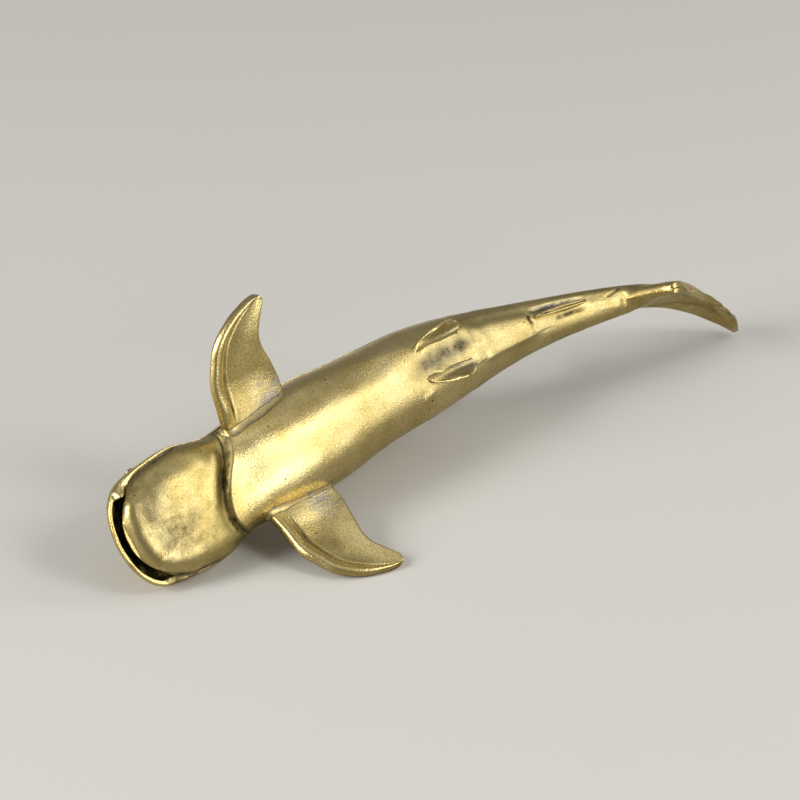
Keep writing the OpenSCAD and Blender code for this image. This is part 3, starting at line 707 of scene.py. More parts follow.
def worked(grid: Array, height: Array, dirt: Array, grey: Array,
           grime: float = 0.0) -> tuple[Array, dict[str, Array]]:
    """Pushes a grid's points out along their normals and gathers the marks for its finish.

    Args:
        grid: Loops of points.
        height: Distance to push each point, in mm.
        dirt: Share of oxide and painted shade at each point.
        grey: Grey share at each point.
        grime: Darkening share added all over.

    Returns:
        The new grid and its marks.
    """
    moved = grid + normals_of(grid) * height[..., None]
    return moved, {"oxide_and_shade": np.clip(dirt + grime, 0.0, 1.0), "grey": np.clip(grey, 0.0, 1.0)}


def hex_rgb(code: str) -> tuple[float, float, float, float]:
    """Linear colour of an sRGB hex value: ((v + 0.055) / 1.055)^2.4, or v / 12.92 near black.

    Args:
        code: Hash sign and six digits.

    Returns:
        Red, green, blue and an alpha of 1.
    """
    values = [int(code[k:k + 2], 16) / 255 for k in (1, 3, 5)]
    linear = [v / 12.92 if v <= 0.04045 else ((v + 0.055) / 1.055) ** 2.4 for v in values]
    return (linear[0], linear[1], linear[2], 1.0)


class Nodes:
    """A new material and short ways to add the nodes that this ornament's finishes share."""

    def __init__(self, name: str) -> None:
        """Starts an empty material of that name, with the piece's Object coordinates at hand.

        Args:
            name: The material's name.
        """
        self.material = bpy.data.materials.new(name)
        self.material.use_nodes = True
        self.tree = self.material.node_tree
        self.tree.nodes.clear()
        self.at = self.add("ShaderNodeTexCoord").outputs["Object"]

    def add(self, kind: str, settings: dict | None = None, **links: object) -> bpy.types.Node:
        """Adds a node.

        Args:
            kind: Blender's name of the node.
            settings: Properties of the node.
            **links: A value or a socket for each input. Underscores stand for spaces, in3 for input 3.

        Returns:
            The new node.
        """
        node = self.tree.nodes.new(kind)
        for key, value in (settings or {}).items():
            setattr(node, key, value)
        for key, value in links.items():
            numbered = key[:2] == "in" and key[2:].isdigit()
            socket = node.inputs[int(key[2:])] if numbered else node.inputs[key.replace("_", " ")]
            if isinstance(value, Socket):
                self.tree.links.new(value, socket)
            else:
                socket.default_value = value
        return node

    def noise(self, size_mm: float, detail: float, roughness: float = 0.5,
              at: Socket | None = None) -> Socket:
        """Noise with features of that size, on the Object coordinates or on others."""
        return self.add("ShaderNodeTexNoise", Vector=at or self.at, Scale=1 / (size_mm * MM), Detail=detail,
                        Roughness=roughness).outputs["Fac"]

    def remap(self, value: Socket, low: float, high: float, to_low: float, to_high: float) -> Socket:
        """The value's range from low to high, stretched to run from to_low to to_high and held there."""
        ends = {"in1": low, "in2": high, "in3": to_low, "in4": to_high}
        return self.add("ShaderNodeMapRange", Value=value, **ends).outputs[0]

    def math(self, operation: str, *values: float | Socket, hold: bool = False) -> Socket:
        """Arithmetic on values or sockets, held between 0 and 1 where hold is true."""
        inputs = {f"in{k}": value for k, value in enumerate(values)}
        return self.add("ShaderNodeMath", {"operation": operation, "use_clamp": hold}, **inputs).outputs[0]

    def blend(self, share: Socket, low: str | Socket, high: str | Socket) -> Socket:
        """Colour mixed by the share from low to high, each an sRGB hex value or a socket."""
        low, high = (hex_rgb(end) if isinstance(end, str) else end for end in (low, high))
        return self.add("ShaderNodeMix", {"data_type": "RGBA"}, Factor=share, in6=low, in7=high).outputs[2]

    def bump(self, height: Socket, strength: float, depth_mm: float,
             under: Socket | None = None) -> Socket:
        """Bump of that depth.

        Args:
            height: Height share.
            strength: Strength of the bump.
            depth_mm: Height in mm that a share of 1 stands for.
            under: Another bump, which this one is laid over.

        Returns:
            The bumped normal.
        """
        node = self.add("ShaderNodeBump", Strength=strength, Distance=depth_mm * MM, Height=height)
        if under:
            self.tree.links.new(under, node.inputs["Normal"])
        return node.outputs[0]

    def mark(self, name: str) -> Socket:
        """A share kept on the mesh's points."""
        return self.add("ShaderNodeAttribute", {"attribute_name": name}).outputs["Fac"]

    def finish(self, colour: Socket, roughness: float | Socket,
               normal: Socket, metallic: float = 0.0) -> bpy.types.Material:
        """Ends the tree with the shader.

        Args:
            colour: Base colour.
            roughness: Roughness, as a value or a socket.
            normal: The bumped normal.
            metallic: 1 for a metal.

        Returns:
            The material.
        """
        shader = self.add("ShaderNodeBsdfPrincipled", Base_Color=colour, Metallic=metallic,
                          Roughness=roughness, Normal=normal)
        self.add("ShaderNodeOutputMaterial", Surface=shader.outputs[0])
        return self.material


@dataclass(frozen=True)
class CastBrass:
    """Yellow brass, sand cast, filed, tumbled and aged.

    The eye gets a warm pale gold with a satin sheen, a fine sandy grain that sparkles, a few casting pits,
    faint file marks along the body, and dark olive oxide left in every recess. The same dark colour paints
    shade into the mouth, along the collar, down the left side, on the right rim and on the tail fin's left
    face.
    """

    name: str = "cast_brass"
    bright: str = "#E6D296"
    warm: str = "#CDB672"
    # Dark olive: oxide in the recesses, and also painted shade in the mouth, along the collar and on some
    # faces
    oxide_and_shade: str = "#2B2712"
    green: str = "#6B6432"
    grey: str = "#8E9099"
    roughness: float = 0.28
    roughness_spread: float = 0.08
    oxide_roughness: float = 0.3
    grain_mm: float = 0.22
    grain_deep_mm: float = 0.038
    tone_mm: float = 7.0
    patch_mm: float = 1.6
    patch_deep_mm: float = 0.05
    pit_mm: float = 1.1
    file_mm: float = 0.16
    file_deep_mm: float = 0.01
    file_slant: float = 4.0

    def build(self) -> bpy.types.Material:
        """Returns the material, from Object coordinates and the marks of oxide, painted shade and grey."""
        n = Nodes(self.name)
        tone = n.noise(self.tone_mm, 3.0, 0.6)
        grain = n.noise(self.grain_mm, 3.0, 0.65)
        patch = n.noise(self.patch_mm, 4.0, 0.6)
        lines = n.add("ShaderNodeMapping", Vector=n.at, Rotation=(0.0, 0.0, math.radians(self.file_slant)),
                      Scale=(0.05, 1.0, 1.0))
        files = n.noise(self.file_mm, 2.0, at=lines.outputs[0])
        pits = n.add("ShaderNodeTexVoronoi", {"feature": "F1"}, Vector=n.at, Scale=1 / (self.pit_mm * MM))
        pit_size = n.remap(pits.outputs["Color"], 0.55, 1.0, 0.0, 0.15)
        pit = n.math("LESS_THAN", pits.outputs["Distance"], pit_size)
        oxide_and_shade = n.math("MULTIPLY", n.mark("oxide_and_shade"), n.remap(patch, 0.3, 0.7, 0.45, 1.5), hold=True)
        grey = n.math("MULTIPLY", n.mark("grey"), n.remap(files, 0.42, 0.6, 0.1, 1.25), hold=True)
        gold = n.blend(n.remap(tone, 0.35, 0.65, 0.0, 1.0), self.bright, self.warm)
        sandy = n.blend(n.remap(grain, 0.34, 0.52, 0.4, 0.0), gold, self.green)
        smeared = n.blend(grey, sandy, self.grey)
        aged = n.blend(n.math("MAXIMUM", oxide_and_shade, pit), smeared, self.oxide_and_shade)
        spread = self.roughness_spread
        sheen = n.remap(grain, 0.3, 0.7, self.roughness + spread, self.roughness - spread)
        rough = n.math("MULTIPLY_ADD", oxide_and_shade, self.oxide_roughness, sheen, hold=True)
        sand = n.bump(grain, 1.0, self.grain_deep_mm)
        filed = n.bump(files, 0.25, self.file_deep_mm, sand)
        return n.finish(aged, rough, n.bump(patch, 0.5, self.patch_deep_mm, filed), metallic=1.0)


@dataclass(frozen=True)
class TinSolder:
    """Soft solder, run round a joint and left uncleaned: dull grey and lumpy, with brass dust in it."""

    name: str = "tin_solder"
    base: str = "#8E9196"
    dust: str = "#CBB678"
    oxide_and_shade: str = "#34342C"
    roughness: float = 0.4
    lump_mm: float = 0.7
    lump_deep_mm: float = 0.06

    def build(self) -> bpy.types.Material:
        """Returns the material, made of nodes on Object coordinates and the oxide attribute."""
        n = Nodes(self.name)
        lumps = n.noise(self.lump_mm, 4.0, 0.65)
        dusty = n.blend(n.remap(lumps, 0.38, 0.47, 0.0, 0.95), self.base, self.dust)
        aged = n.blend(n.mark("oxide_and_shade"), dusty, self.oxide_and_shade)
        return n.finish(aged, self.roughness, n.bump(lumps, 0.4, self.lump_deep_mm), metallic=1.0)


@dataclass(frozen=True)
class StudioPaper:
    """Matt pale paper. Its colour in the brass's reflections is painted darker in front and paler behind."""

    name: str = "studio_paper"
    tone: str = "#D2CFC8"
    painted_reflection_front: str = "#8A867C"
    mirrored_behind: str = "#DAD6CA"
    fade_mm: float = 20.0
    fibre_mm: float = 1.5
    fibre_deep_mm: float = 0.02
    roughness: float = 0.85

    def build(self) -> bpy.types.Material:
        """Returns the material, with a faint mottle of the paper's fibres."""
        n = Nodes(self.name)
        # Painted reflection: glossy rays see the paper dark in front of the ornament and pale behind it.
        across = n.add("ShaderNodeSeparateXYZ", Vector=n.at).outputs["Y"]
        behind = n.remap(across, -self.fade_mm * MM, self.fade_mm * MM, 0.0, 1.0)
        painted_reflection = n.blend(behind, self.painted_reflection_front, self.mirrored_behind)
        colour = n.blend(n.add("ShaderNodeLightPath").outputs["Is Glossy Ray"], self.tone, painted_reflection)
        return n.finish(colour, self.roughness, n.bump(n.noise(self.fibre_mm, 3.0), 0.08, self.fibre_deep_mm))


def fit(obj: bpy.types.Object, material: bpy.types.Material, slot: str, *nodes: str) -> bpy.types.Object:
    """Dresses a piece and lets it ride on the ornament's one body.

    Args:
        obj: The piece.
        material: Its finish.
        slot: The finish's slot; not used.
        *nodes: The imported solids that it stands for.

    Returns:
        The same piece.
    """
    obj.data.materials.append(material)
    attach(obj, "root")
    if nodes:
        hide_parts(*nodes)
    LOG.info("%s: %d faces", obj.name, len(obj.data.polygons))
    return obj


@dataclass
class Castings:
    """The three large castings, which are the back, the belly and the jaw plate, and the two eyes."""

    brass: bpy.types.Material
    # Rows and points of the grids, and where the rows change their spacing
    nose_rows: int = 64
    head_rows: int = 44
    collar_rows: int = 44
    trunk_rows: int = 90
    tail_rows: int = 120
    up_points: int = 92
    low_points: int = 116
    belly_rows: int = 300
    belly_points: int = 190
    jaw_rows: int = 190
    jaw_points: int = 200
    flat_points: int = 26
    collar_from: float = 14.0
    collar_to: float = 20.0
    # Rim and inner wall of the snout, and the jaw's lip
    rim_share: float = 0.16
    wall_share: float = 0.14
    rim_gap: float = 0.03
    jaw_over: float = 0.3
    lip_rows_share: float = 0.35
    lip_len_share: float = 0.24
    # Gill slits
    gill_x: float = 15.0
    gill_pitch: float = 1.7
    gill_count: int = 3
    gill_low: float = 0.9
    gill_high: float = 3.6
    gill_w: float = 0.24
    gill_depth: float = 0.24
    gill_sweep: float = 0.036
    gill_end: float = 0.2
    gill_width_share: float = 0.5
    # Keels on the back
    keel_angles: tuple[float, ...] = (0.42, 0.8, 1.15)
    keel_w: float = 0.05
    keel_h: float = 0.13
    keel_from: float = 20.0
    keel_grow: float = 8.0
    keel_to: float = 80.0
    keel_fade: float = 14.0
    keel_low: float = 0.3
    # Eyes
    eye_d: float = 1.3
    eye_x: float = 7.0
    eye_z: float = 1.4
    eye_dome: float = 0.24
    eye_sunk: float = 0.11
    # Filed surface, how it fades towards the seams, the tarnish, the painted shade and the jaw's darkening
    seam_clear: float = 0.35
    seam_blend: float = 0.7
    jaw_clear: float = 1.3
    jaw_blend: float = 0.9
    collar_blend: float = 0.8
    ripple: float = 0.012
    back_ripple: float = 0.03
    jaw_ripple: float = 0.014
    jaw_darkening: float = 0.17
    tail_grime: float = 0.12
    left_side_shade: float = 0.1
    right_rim_shade: float = 0.8
    slit_grime: float = 0.9
    seam_grime: float = 0.5
    brow_shade: float = 0.75
    crease_shade: float = 0.7
    side_grime: float = 0.45

    def back(self) -> bpy.types.Object:
        """Back casting, over the back a squared-up half circle: y = w cos^(2/n) t and z = h sin^(2/n) t.

        Underneath it has the snout's rim, the mouth cavity and its roof, and behind the belly the tail
        stock's own underside, z = -l - (b - l) sin^(2/n) s.

        Returns:
            The finished piece.
        """
        xs = self._stations()
        x = xs[:, None]
        n, w = FORM.square(x), FORM.half_w(x)
        t = np.linspace(0.0, np.pi, self.up_points)[None, :]
        s = np.linspace(0.0, np.pi, self.low_points + 2)[None, 1:-1]
        k = np.linspace(-1.0, 1.0, self.low_points)[None, :]
        rear = x >= FORM.belly_end
        y_mouth, z_mouth = self._mouth(x, k)
        y_tail = -w * signed_power(np.cos(s), 2 / n)
        z_tail = -FORM.land - (FORM.belly_z(x) - FORM.land) * np.abs(np.sin(s)) ** (2 / n)
        y_up = w * signed_power(np.cos(t), 2 / n)
        z_up = FORM.back_z(x) * np.abs(np.sin(t)) ** (2 / n)
        y = np.concatenate([y_up, np.where(rear, y_tail, y_mouth)], axis=1)
        z = np.concatenate([z_up, np.where(rear, z_tail, z_mouth)], axis=1)
        grid = np.stack([np.broadcast_to(x, y.shape), y, z], axis=-1)
        mouth_rows = int(np.searchsorted(xs, FORM.belly_end))
        grid = soften(grid, 2, slice(0, mouth_rows), along_too=False)
        grid = soften(grid, 2, slice(2, int(np.searchsorted(xs, self.eye_x))))
        height, oxide_and_shade, grey = self._back_marks(grid, rear, k)
        bent = FORM.on_axis(grid[..., 0], grid[..., 1], grid[..., 2])
        parts = [worked(bent[rows], height[rows], oxide_and_shade[rows], grey[rows])
                 for rows in (slice(0, mouth_rows), slice(mouth_rows, None))]
        moved = np.concatenate([part[0] for part in parts])
        marks = {key: np.concatenate([part[1][key] for part in parts]) for key in ("oxide_and_shade", "grey")}
        return fit(loft("back_casting_skin", moved, marks), self.brass, "cast_brass", "back_casting")

    def _stations(self) -> Array:
        """Distances of the back casting's rows behind the snout, crowded at the nose.

        Returns:
            One distance for each row.
        """
        nose_len = FORM.body_len * FORM.nose_share
        nose = nose_len * (1 - np.cos(np.linspace(0.07, np.pi / 2, self.nose_rows)))
        spans = ((nose_len, self.collar_from, self.head_rows),
                 (self.collar_from, self.collar_to, self.collar_rows),
                 (self.collar_to, FORM.belly_end - 0.03, self.trunk_rows))
        end = [FORM.belly_end, FORM.belly_end + 0.01]
        tail = np.linspace(FORM.belly_end, FORM.body_len, self.tail_rows)[1:]
        return np.concatenate([nose, *(np.linspace(*span)[1:] for span in spans), end, tail])

    def _mouth(self, x: Array, k: Array) -> tuple[Array, Array]:
        """Underside of the head and trunk: the rim hangs down, its inner wall rises and the roof runs across.

        Args:
            x: Distance behind the snout of each row.
            k: Place across from -1 to 1.

        Returns:
            y and z of each point.
        """
        w, edge = FORM.half_w(x), 1.0 - np.abs(k)
        rim_and_wall = self.rim_share + self.wall_share
        out = np.clip(edge / self.rim_share, 0.0, 1.0)
        rise = np.clip((edge - self.rim_share) / self.wall_share, 0.0, 1.0)
        run = np.clip((edge - rim_and_wall) / (1 - rim_and_wall), 0.0, 1.0)
        is_open = x > FORM.rim_lip
        corner = np.where(k < 0, FORM.mouth_left, FORM.mouth_right)
        cavity = FORM.cavity_w(x)
        inner = np.minimum(cavity, np.maximum(corner, FORM.jaw_w(x)))
        wall = np.where(is_open, inner + self.rim_gap, 0.0)
        jaw_edge = FORM.lip - FORM.floor_z(x, np.ones_like(x))
        hang = mix(FORM.rim_z(x), jaw_edge, ease((cavity - inner) / FORM.rim_w))
        y = np.sign(k) * mix(mix(w, wall, out), 0.0, run)
        rim = mix(-FORM.rim_z(x), -hang, out)
        return y, np.where(is_open, mix(rim, FORM.roof_z(x), rise), -FORM.rim_z(x))

    def _back_marks(self, grid: Array, rear: Array, k: Array) -> tuple[Array, Array, Array]:
        """Relief, tarnish and painted shade of the back casting.

        Args:
            grid: Its points before the bend.
            rear: True for the rows behind the belly casting.
            k: Place across the underside from -1 to 1.

        Returns:
            Height in mm, share of oxide and painted shade, and grey share at each point.
        """
        x, y, z = grid[..., 0], grid[..., 1], grid[..., 2]
        low = np.arange(x.shape[1])[None, :] >= self.up_points
        across = np.concatenate([np.ones((1, self.up_points)), k], axis=1)
        in_mouth = np.where(~rear & low, 1.0, 0.0)
        # Painted shade: the mouth's inner wall and roof get the full dark oxide colour.
        mouth_shade = in_mouth * ease((1.0 - np.abs(across) - self.rim_share) / 0.1)
        height, dirt, grey = UNDERSIDE.read(x, y)
        under = ease(self._below(z)) * np.where(rear, 1.0, 0.0)
        slits = self._gills(x, y, z)
        height = (height + self.ripple * wobble(x, y, 1.1)) * under
        height = height - self.gill_depth * slits + self._keels(x, y, z)
        height = (height + self.back_ripple * (1 - under) * wobble(x, y + z, 0.3)) * (1 - in_mouth)
        # Painted shade: the whole left side of the back casting, outside the mouth, is made darker.
        left_shade = self.left_side_shade * ease(-y / 6.0) * (1 - in_mouth)
        # Painted shade: the snout's rim is darkened on its right side only.
        rim = self.right_rim_shade * in_mouth * (1 - mouth_shade) * ease(y / 3.0) * ease((x - 3.0) / 2.5)
        oxide_and_shade = dirt * under + self.slit_grime * slits + mouth_shade + self.tail_grime * rear + left_shade + rim
        return height, oxide_and_shade, grey * under

    def _below(self, z: Array) -> Array:
        """How far z lies below the seam's edge: 0 where the worked surface starts and 1 where it is full."""
        return (-z - self.seam_clear) / self.seam_blend

    def _gills(self, x: Array, y: Array, z: Array) -> Array:
        """Share of the gill slits: grooves exp(-(d/w)^2) down both flanks behind the head, swept with z^2.

        Args:
            x: Distances behind the snout.
            y: Distances to the right of the axis.
            z: Heights above the seam.

        Returns:
            The share, from 0 to 1.
        """
        low = ease((z - self.gill_low + self.gill_end) / (2 * self.gill_end))
        high = ease((self.gill_high - z + self.gill_end) / (2 * self.gill_end))
        flank = ease((np.abs(y) / FORM.half_w(x) - self.gill_width_share) / 0.2)
        swept = x - self.gill_x - self.gill_sweep * (z - self.gill_low) ** 2
        slits = sum(hump(swept - k * self.gill_pitch, self.gill_w) for k in range(self.gill_count))
        return slits * (low * high) * flank

    def _keels(self, x: Array, y: Array, z: Array) -> Array:
        """Height of the three low keels down each side of the back, each at its angle round the body.

        Args:
            x: Distances behind the snout.
            y: Distances to the right of the axis.
            z: Heights above the seam.

        Returns:
            The height in mm.
        """
        angle = np.arctan2(z, np.abs(y) + 1e-6)
        keels = sum(hump(angle - at, self.keel_w) for at in self.keel_angles)
        front, rear = ease((x - self.keel_from) / self.keel_grow), ease((self.keel_to - x) / self.keel_fade)
        return self.keel_h * keels * front * rear * np.where(z > self.keel_low, 1.0, 0.0)

    def belly(self) -> bpy.types.Object:
        """Belly casting: y = w cos^(2/n) t, z = -e - (h - e) sin^(2/n) t, and a flat top on the seam.

        Returns:
            The finished piece.
        """
        u = np.linspace(0.0, 1.0, self.belly_rows)[:, None] ** 1.35
        t = np.linspace(0.0, np.pi, self.belly_points)[None, :]
        grid = self._lower_sheet(u, t, is_jaw=False)
        x, y, z = grid[..., 0], grid[..., 1], grid[..., 2]
        behind = FORM.behind_collar(x, y)
        h, dirt, grey = UNDERSIDE.read(x, y)
        arc = ease(self._below(z))
        h = (h * ease(np.abs(behind) / self.collar_blend) + self.ripple * wobble(x, y, 1.1)) * arc
        seam = self.seam_grime * hump(np.abs(z + FORM.land), 0.28) * ease((45.0 - x) / 10.0)
        # Painted shade: a dark band on the belly's rise just behind the collar.
        painted_brow = self.brow_shade * hump(behind - 0.3, 0.45)
        moved, marks = worked(FORM.on_axis(x, y, z), h, dirt * arc + seam + painted_brow, grey * arc)
        return fit(loft("belly_casting_skin", moved, marks), self.brass, "cast_brass", "belly_casting")

    def _lower_sheet(self, u: Array, t: Array, is_jaw: bool) -> Array:
        """Loops of the belly casting or of the jaw plate.

        Args:
            u: Share of the length, one row each.
            t: Angle round the lower section.
            is_jaw: True for the jaw plate, which runs from its front to the collar, and false for the belly
                casting, which runs from the collar to its rear end.

        Returns:
            The grid before the bend: the lower surface, then back across the flat top.
        """
        def length(v: Array) -> Array:
            """Distance behind the snout at v of the half width."""
            collar = FORM.collar_at(v)
            return mix(FORM.jaw_setback, collar, u) if is_jaw else mix(collar, FORM.belly_end, u)

        def top(x: Array, v: Array) -> Array:
            """z of the flat top."""
            return FORM.floor_z(x, v) if is_jaw else np.full_like(x, -FORM.land)

        v = signed_power(np.cos(t), 2 / FORM.square(length(np.cos(t) * np.ones_like(u))))
        x = length(v)
        if is_jaw:
            edge = FORM.lip - top(x, v)
            crease = FORM.crease_share * FORM.jaw_h * ease((x - FORM.collar_at(v)) / FORM.collar_x * 6 + 1)
            deep = np.maximum(FORM.jaw_deep(x) - crease, edge) - edge
            over = self.jaw_over * ease((x - 3.0) / 3.0) * (1 - FORM.rim_fade(x))
        else:
            edge = FORM.edge_at(x)
            deep = FORM.belly_deep(x, v) - edge
            over = 0.0
        z = -edge - deep * np.abs(np.sin(t)) ** (2 / FORM.square(x))
        lower = np.stack([x, v * (FORM.jaw_w(x) + over), z], axis=-1)
        across = np.linspace(1.0, -1.0, self.flat_points)[None, :] * np.ones_like(u)
        xt = length(across)
        flat = np.stack([xt, across * FORM.jaw_w(xt), top(xt, across)], axis=-1)[:, ::-1]
        return soften(np.concatenate([lower, flat], axis=1), 2, slice(0, u.shape[0]), along_too=False)

    def jaw(self) -> bpy.types.Object:
        """Jaw plate: rows crowd towards the rounded lip, u = 1 - cos over the first quarter of its length.

        Returns:
            The finished piece.
        """
        a = np.linspace(0.03, 1.0, self.jaw_rows)[:, None]
        lip_rows, lip_len = self.lip_rows_share, self.lip_len_share
        lip = lip_len * (1 - np.cos(np.clip(a / lip_rows, 0, 1) * np.pi / 2))
        u = np.where(a < lip_rows, lip, lip_len + (1 - lip_len) * (a - lip_rows) / (1 - lip_rows))
        t = np.linspace(0.0, np.pi, self.jaw_points)[None, :]
        grid = self._lower_sheet(u, t, is_jaw=True)
        x, y, z = grid[..., 0], grid[..., 1], grid[..., 2]
        behind = x - FORM.collar_at(np.clip(y / FORM.jaw_w(np.maximum(x, 1.5)), -1, 1))
        h, dirt, grey = THROAT.read(x, y)
        arc = ease((-z - self.jaw_clear) / self.jaw_blend)
        h = (h * ease(-behind / self.collar_blend) + self.jaw_ripple * wobble(x, y, 2.3)) * arc
        # Painted shade: a dark band on the jaw along the collar's crease.
        crease = self.crease_shade * hump(behind, 0.4)
        side = self.side_grime * hump(np.clip(FORM.jaw_w(x) - np.abs(y), 0, 9), 0.1) * ease((x - 3.0) / 2.0)
        # Painted shade: the jaw's flat top, which is the mouth's floor, gets the full dark oxide colour.
        mouth_shade = np.where(np.arange(x.shape[1])[None, :] >= self.jaw_points, 1.0, 0.0)
        oxide_and_shade = dirt * arc + crease + side + mouth_shade
        # The whole jaw plate is made somewhat darker.
        moved, marks = worked(FORM.on_axis(x, y, z), h, oxide_and_shade, grey * arc, self.jaw_darkening)
        return fit(loft("jaw_plate_skin", moved, marks), self.brass, "cast_brass", "jaw_plate")

    def eye(self, hand: int) -> bpy.types.Object:
        """One eye: a low dome h (1 - r^2)^(1/2) with a sunk ring round it, set on the side of the head.

        Args:
            hand: RIGHT or LEFT.

        Returns:
            The finished piece.
        """
        side_y = float(FORM.side_y(np.array(self.eye_x), np.array(self.eye_z)))
        centre = np.array([self.eye_x, hand * side_y, self.eye_z])
        axis = np.array([0.0, hand * 0.9, 0.43])
        axis = axis / np.linalg.norm(axis)
        e1 = np.array([1.0, 0.0, 0.0])
        e2 = np.cross(axis, e1)
        r = np.linspace(0.04, 1.0, 16)[:, None]
        a = np.linspace(0.0, 2 * np.pi, 40, endpoint=False)[None, :]
        high = (self.eye_dome * np.sqrt(np.clip(1 - r**2, 0, 1)) - self.eye_sunk) * self.eye_d
        radius = self.eye_d / 2 * np.sin(r * np.pi / 2)
        ring = np.cos(a)[..., None] * e1 + np.sin(a)[..., None] * e2
        grid = centre + radius[..., None] * ring + high[..., None] * axis
        marks = {"oxide_and_shade": 0.5 * ease((r - 0.6) / 0.4) * np.ones_like(a), "grey": np.zeros_like(r * a)}
        return fit(loft(f"{side_name(hand)}_eye", grid, marks, 1), self.brass, "cast_brass")


@dataclass
class PectoralFin:
    """A pectoral fin with its rolled leading edge and dished underside, and the solder round its root."""

    hand: int
    brass: bpy.types.Material
    solder: bpy.types.Material
    droop: float
    valley: float = 0.0
    root: float = 10.0
    reach: float = 14.6
    front: float = 19.3
    drop: float = 2.5
    thick: float = 1.1
    bead: float = 0.8
    dish: float = 0.75
    groove: float = 0.2
    edge_r: float = 0.3
    sunk: float = 0.06
    ripple: float = 0.035
    leg: float = 0.7
    foot_sunk: float = 0.04
    inner_sunk: float = 0.15
    seat_share: float = 0.82
    seat_run_share: float = 0.4
    tip_from_share: float = 0.93
    tip_run_share: float = 0.07
    rows: int = 150
    face_points: int = 84
    fillet_points: int = 220
    lead: Points2 = (
        (0, 0), (-0.025, 0.2), (-0.03, 0.4), (0.045, 0.586), (0.16, 0.75), (0.445, 0.905), (0.89, 1.01))
    trail: Points2 = (
        (1, 0), (1.01, 0.14), (0.935, 0.34), (0.86, 0.52), (0.855, 0.65), (0.93, 0.78), (1.04, 0.93))

    @staticmethod
    def bead_at(t: Array) -> Array:
        """Share of the chord at which the rolled leading edge has its middle."""
        return mix(0.075, 0.17, t)

    def offset(self, t: Array, c: Array, face: Array) -> Array:
        """Height of a face over the fin's plane: half the thickness, the dish, and the rolled leading edge.

        Args:
            t: Share of the reach.
            c: Share of the chord from the leading edge.
            face: 1 for the upper face and -1 for the dished lower face.

        Returns:
            The offset in mm.
        """
        chord = self.root * mix(1.0, 0.35, t)
        near = np.minimum(np.minimum(c, 1 - c) * chord, (1 - t) * self.reach)
        rounded = edge_round(near, self.edge_r)
        blade = self.thick * lens(c) / 2 * mix(mix(1.6, 1.0, ease(t * 3)), 0.72, t) * rounded
        dish = self.dish * 4 * c * (1 - c) * ease(t * 3) * mix(1.0, 0.45, t)
        middle = self.bead_at(t)
        roll = np.clip(1 - ((c - middle) / (middle * 1.15)) ** 2, 0, None) ** 0.8 * ease(t * 4 + 0.1)
        line = hump(c - middle * 2.25, mix(0.018, 0.035, t)) * ease((t - 0.04) * 8) * ease((1.0 - t) * 5)
        fold = hump(c - mix(1.0, 0.5, ease(t * 1.6)), 0.2) * ease((t - 0.1) * 3) * ease((0.85 - t) * 3)
        upper = blade + dish / 2 + 0.25 * self.bead * roll * rounded
        rolled = self.bead * 0.85 * roll * mix(1.0, 0.7, t)
        lower = -blade + dish - rolled * rounded + self.groove * line + self.valley * fold * rounded
        return np.where(face > 0, upper, lower)

    def point(self, t: Array, c: Array, face: Array) -> Array:
        """Points of a face: the chord is drawn in at the blunt tip, and the root sits on the belly's flank.

        Args:
            t: Share of the reach.
            c: Share of the chord from the leading edge.
            face: 1 for the upper face and -1 for the dished lower face.

        Returns:
            Points in the shark's axes.
        """
        past = np.clip((t - self.tip_from_share) / self.tip_run_share, 0, 1)
        blunt = np.sqrt(np.clip(1 - past**2, 0.003, 1))
        sx, sr = plan(self.lead, self.trail, t, 0.5 + (c - 0.5) * blunt)
        w = math.radians(self.droop)
        off, off0 = self.offset(t, c, face), self.offset(0 * t, c, face)
        r = sr * self.reach
        z0 = -self.drop + off0 * math.cos(w)
        seat = FORM.flank_y(self.front + c * self.root, z0, self.hand) - self.sunk
        base = FORM.head_w / 2 * self.seat_share
        y = base + r * math.cos(w) + off * math.sin(w)
        y = y + (seat - base - off0 * math.sin(w)) * (1 - ease(t / self.seat_run_share))
        return np.stack([self.front + sx * self.root, self.hand * y,
                         -self.drop - r * math.sin(w) + off * math.cos(w)], axis=-1)

    def blade(self) -> bpy.types.Object:
        """The fin: loops round the chord, crowded at both edges, from the root to the blunt tip.

        Returns:
            The finished piece.
        """
        t = np.sin(np.linspace(0.0, np.pi / 2, self.rows))[:, None] ** 1.15
        c, face = (part * np.ones_like(t) for part in both_faces(self.face_points))
        face = -face
        face[:, 0] = face[:, self.face_points - 1] = 0.5
        tt = t * np.ones_like(c)
        grid = self.point(tt, c, face)
        lower = np.where(face < 0, 1.0, 0.0)
        line = hump(c - self.bead_at(tt) * 2.25, mix(0.02, 0.04, tt)) * ease((tt - 0.02) * 8)
        dirt = lower * (0.75 * line + 0.3 * hump(1 - c, 0.03))
        dirt = dirt + 0.25 * ease(1 - tt / 0.09) + (1 - lower) * 0.08
        streaks = lower * ease((c - 0.4) / 0.3) * ease((0.34 - tt) / 0.2)
        grey = streaks * 0.55 + lower * 0.75 * ease(1 - tt / 0.06)
        height = self.ripple * wobble(grid[..., 0], grid[..., 1], 4.0 + self.hand) * ease(tt * 8)
        moved, marks = worked(grid, height, dirt, grey)
        side = side_name(self.hand)
        obj = loft(f"{side}_pectoral_blade", moved, marks)
        return fit(obj, self.brass, "cast_brass", f"{side}_pectoral_fin")

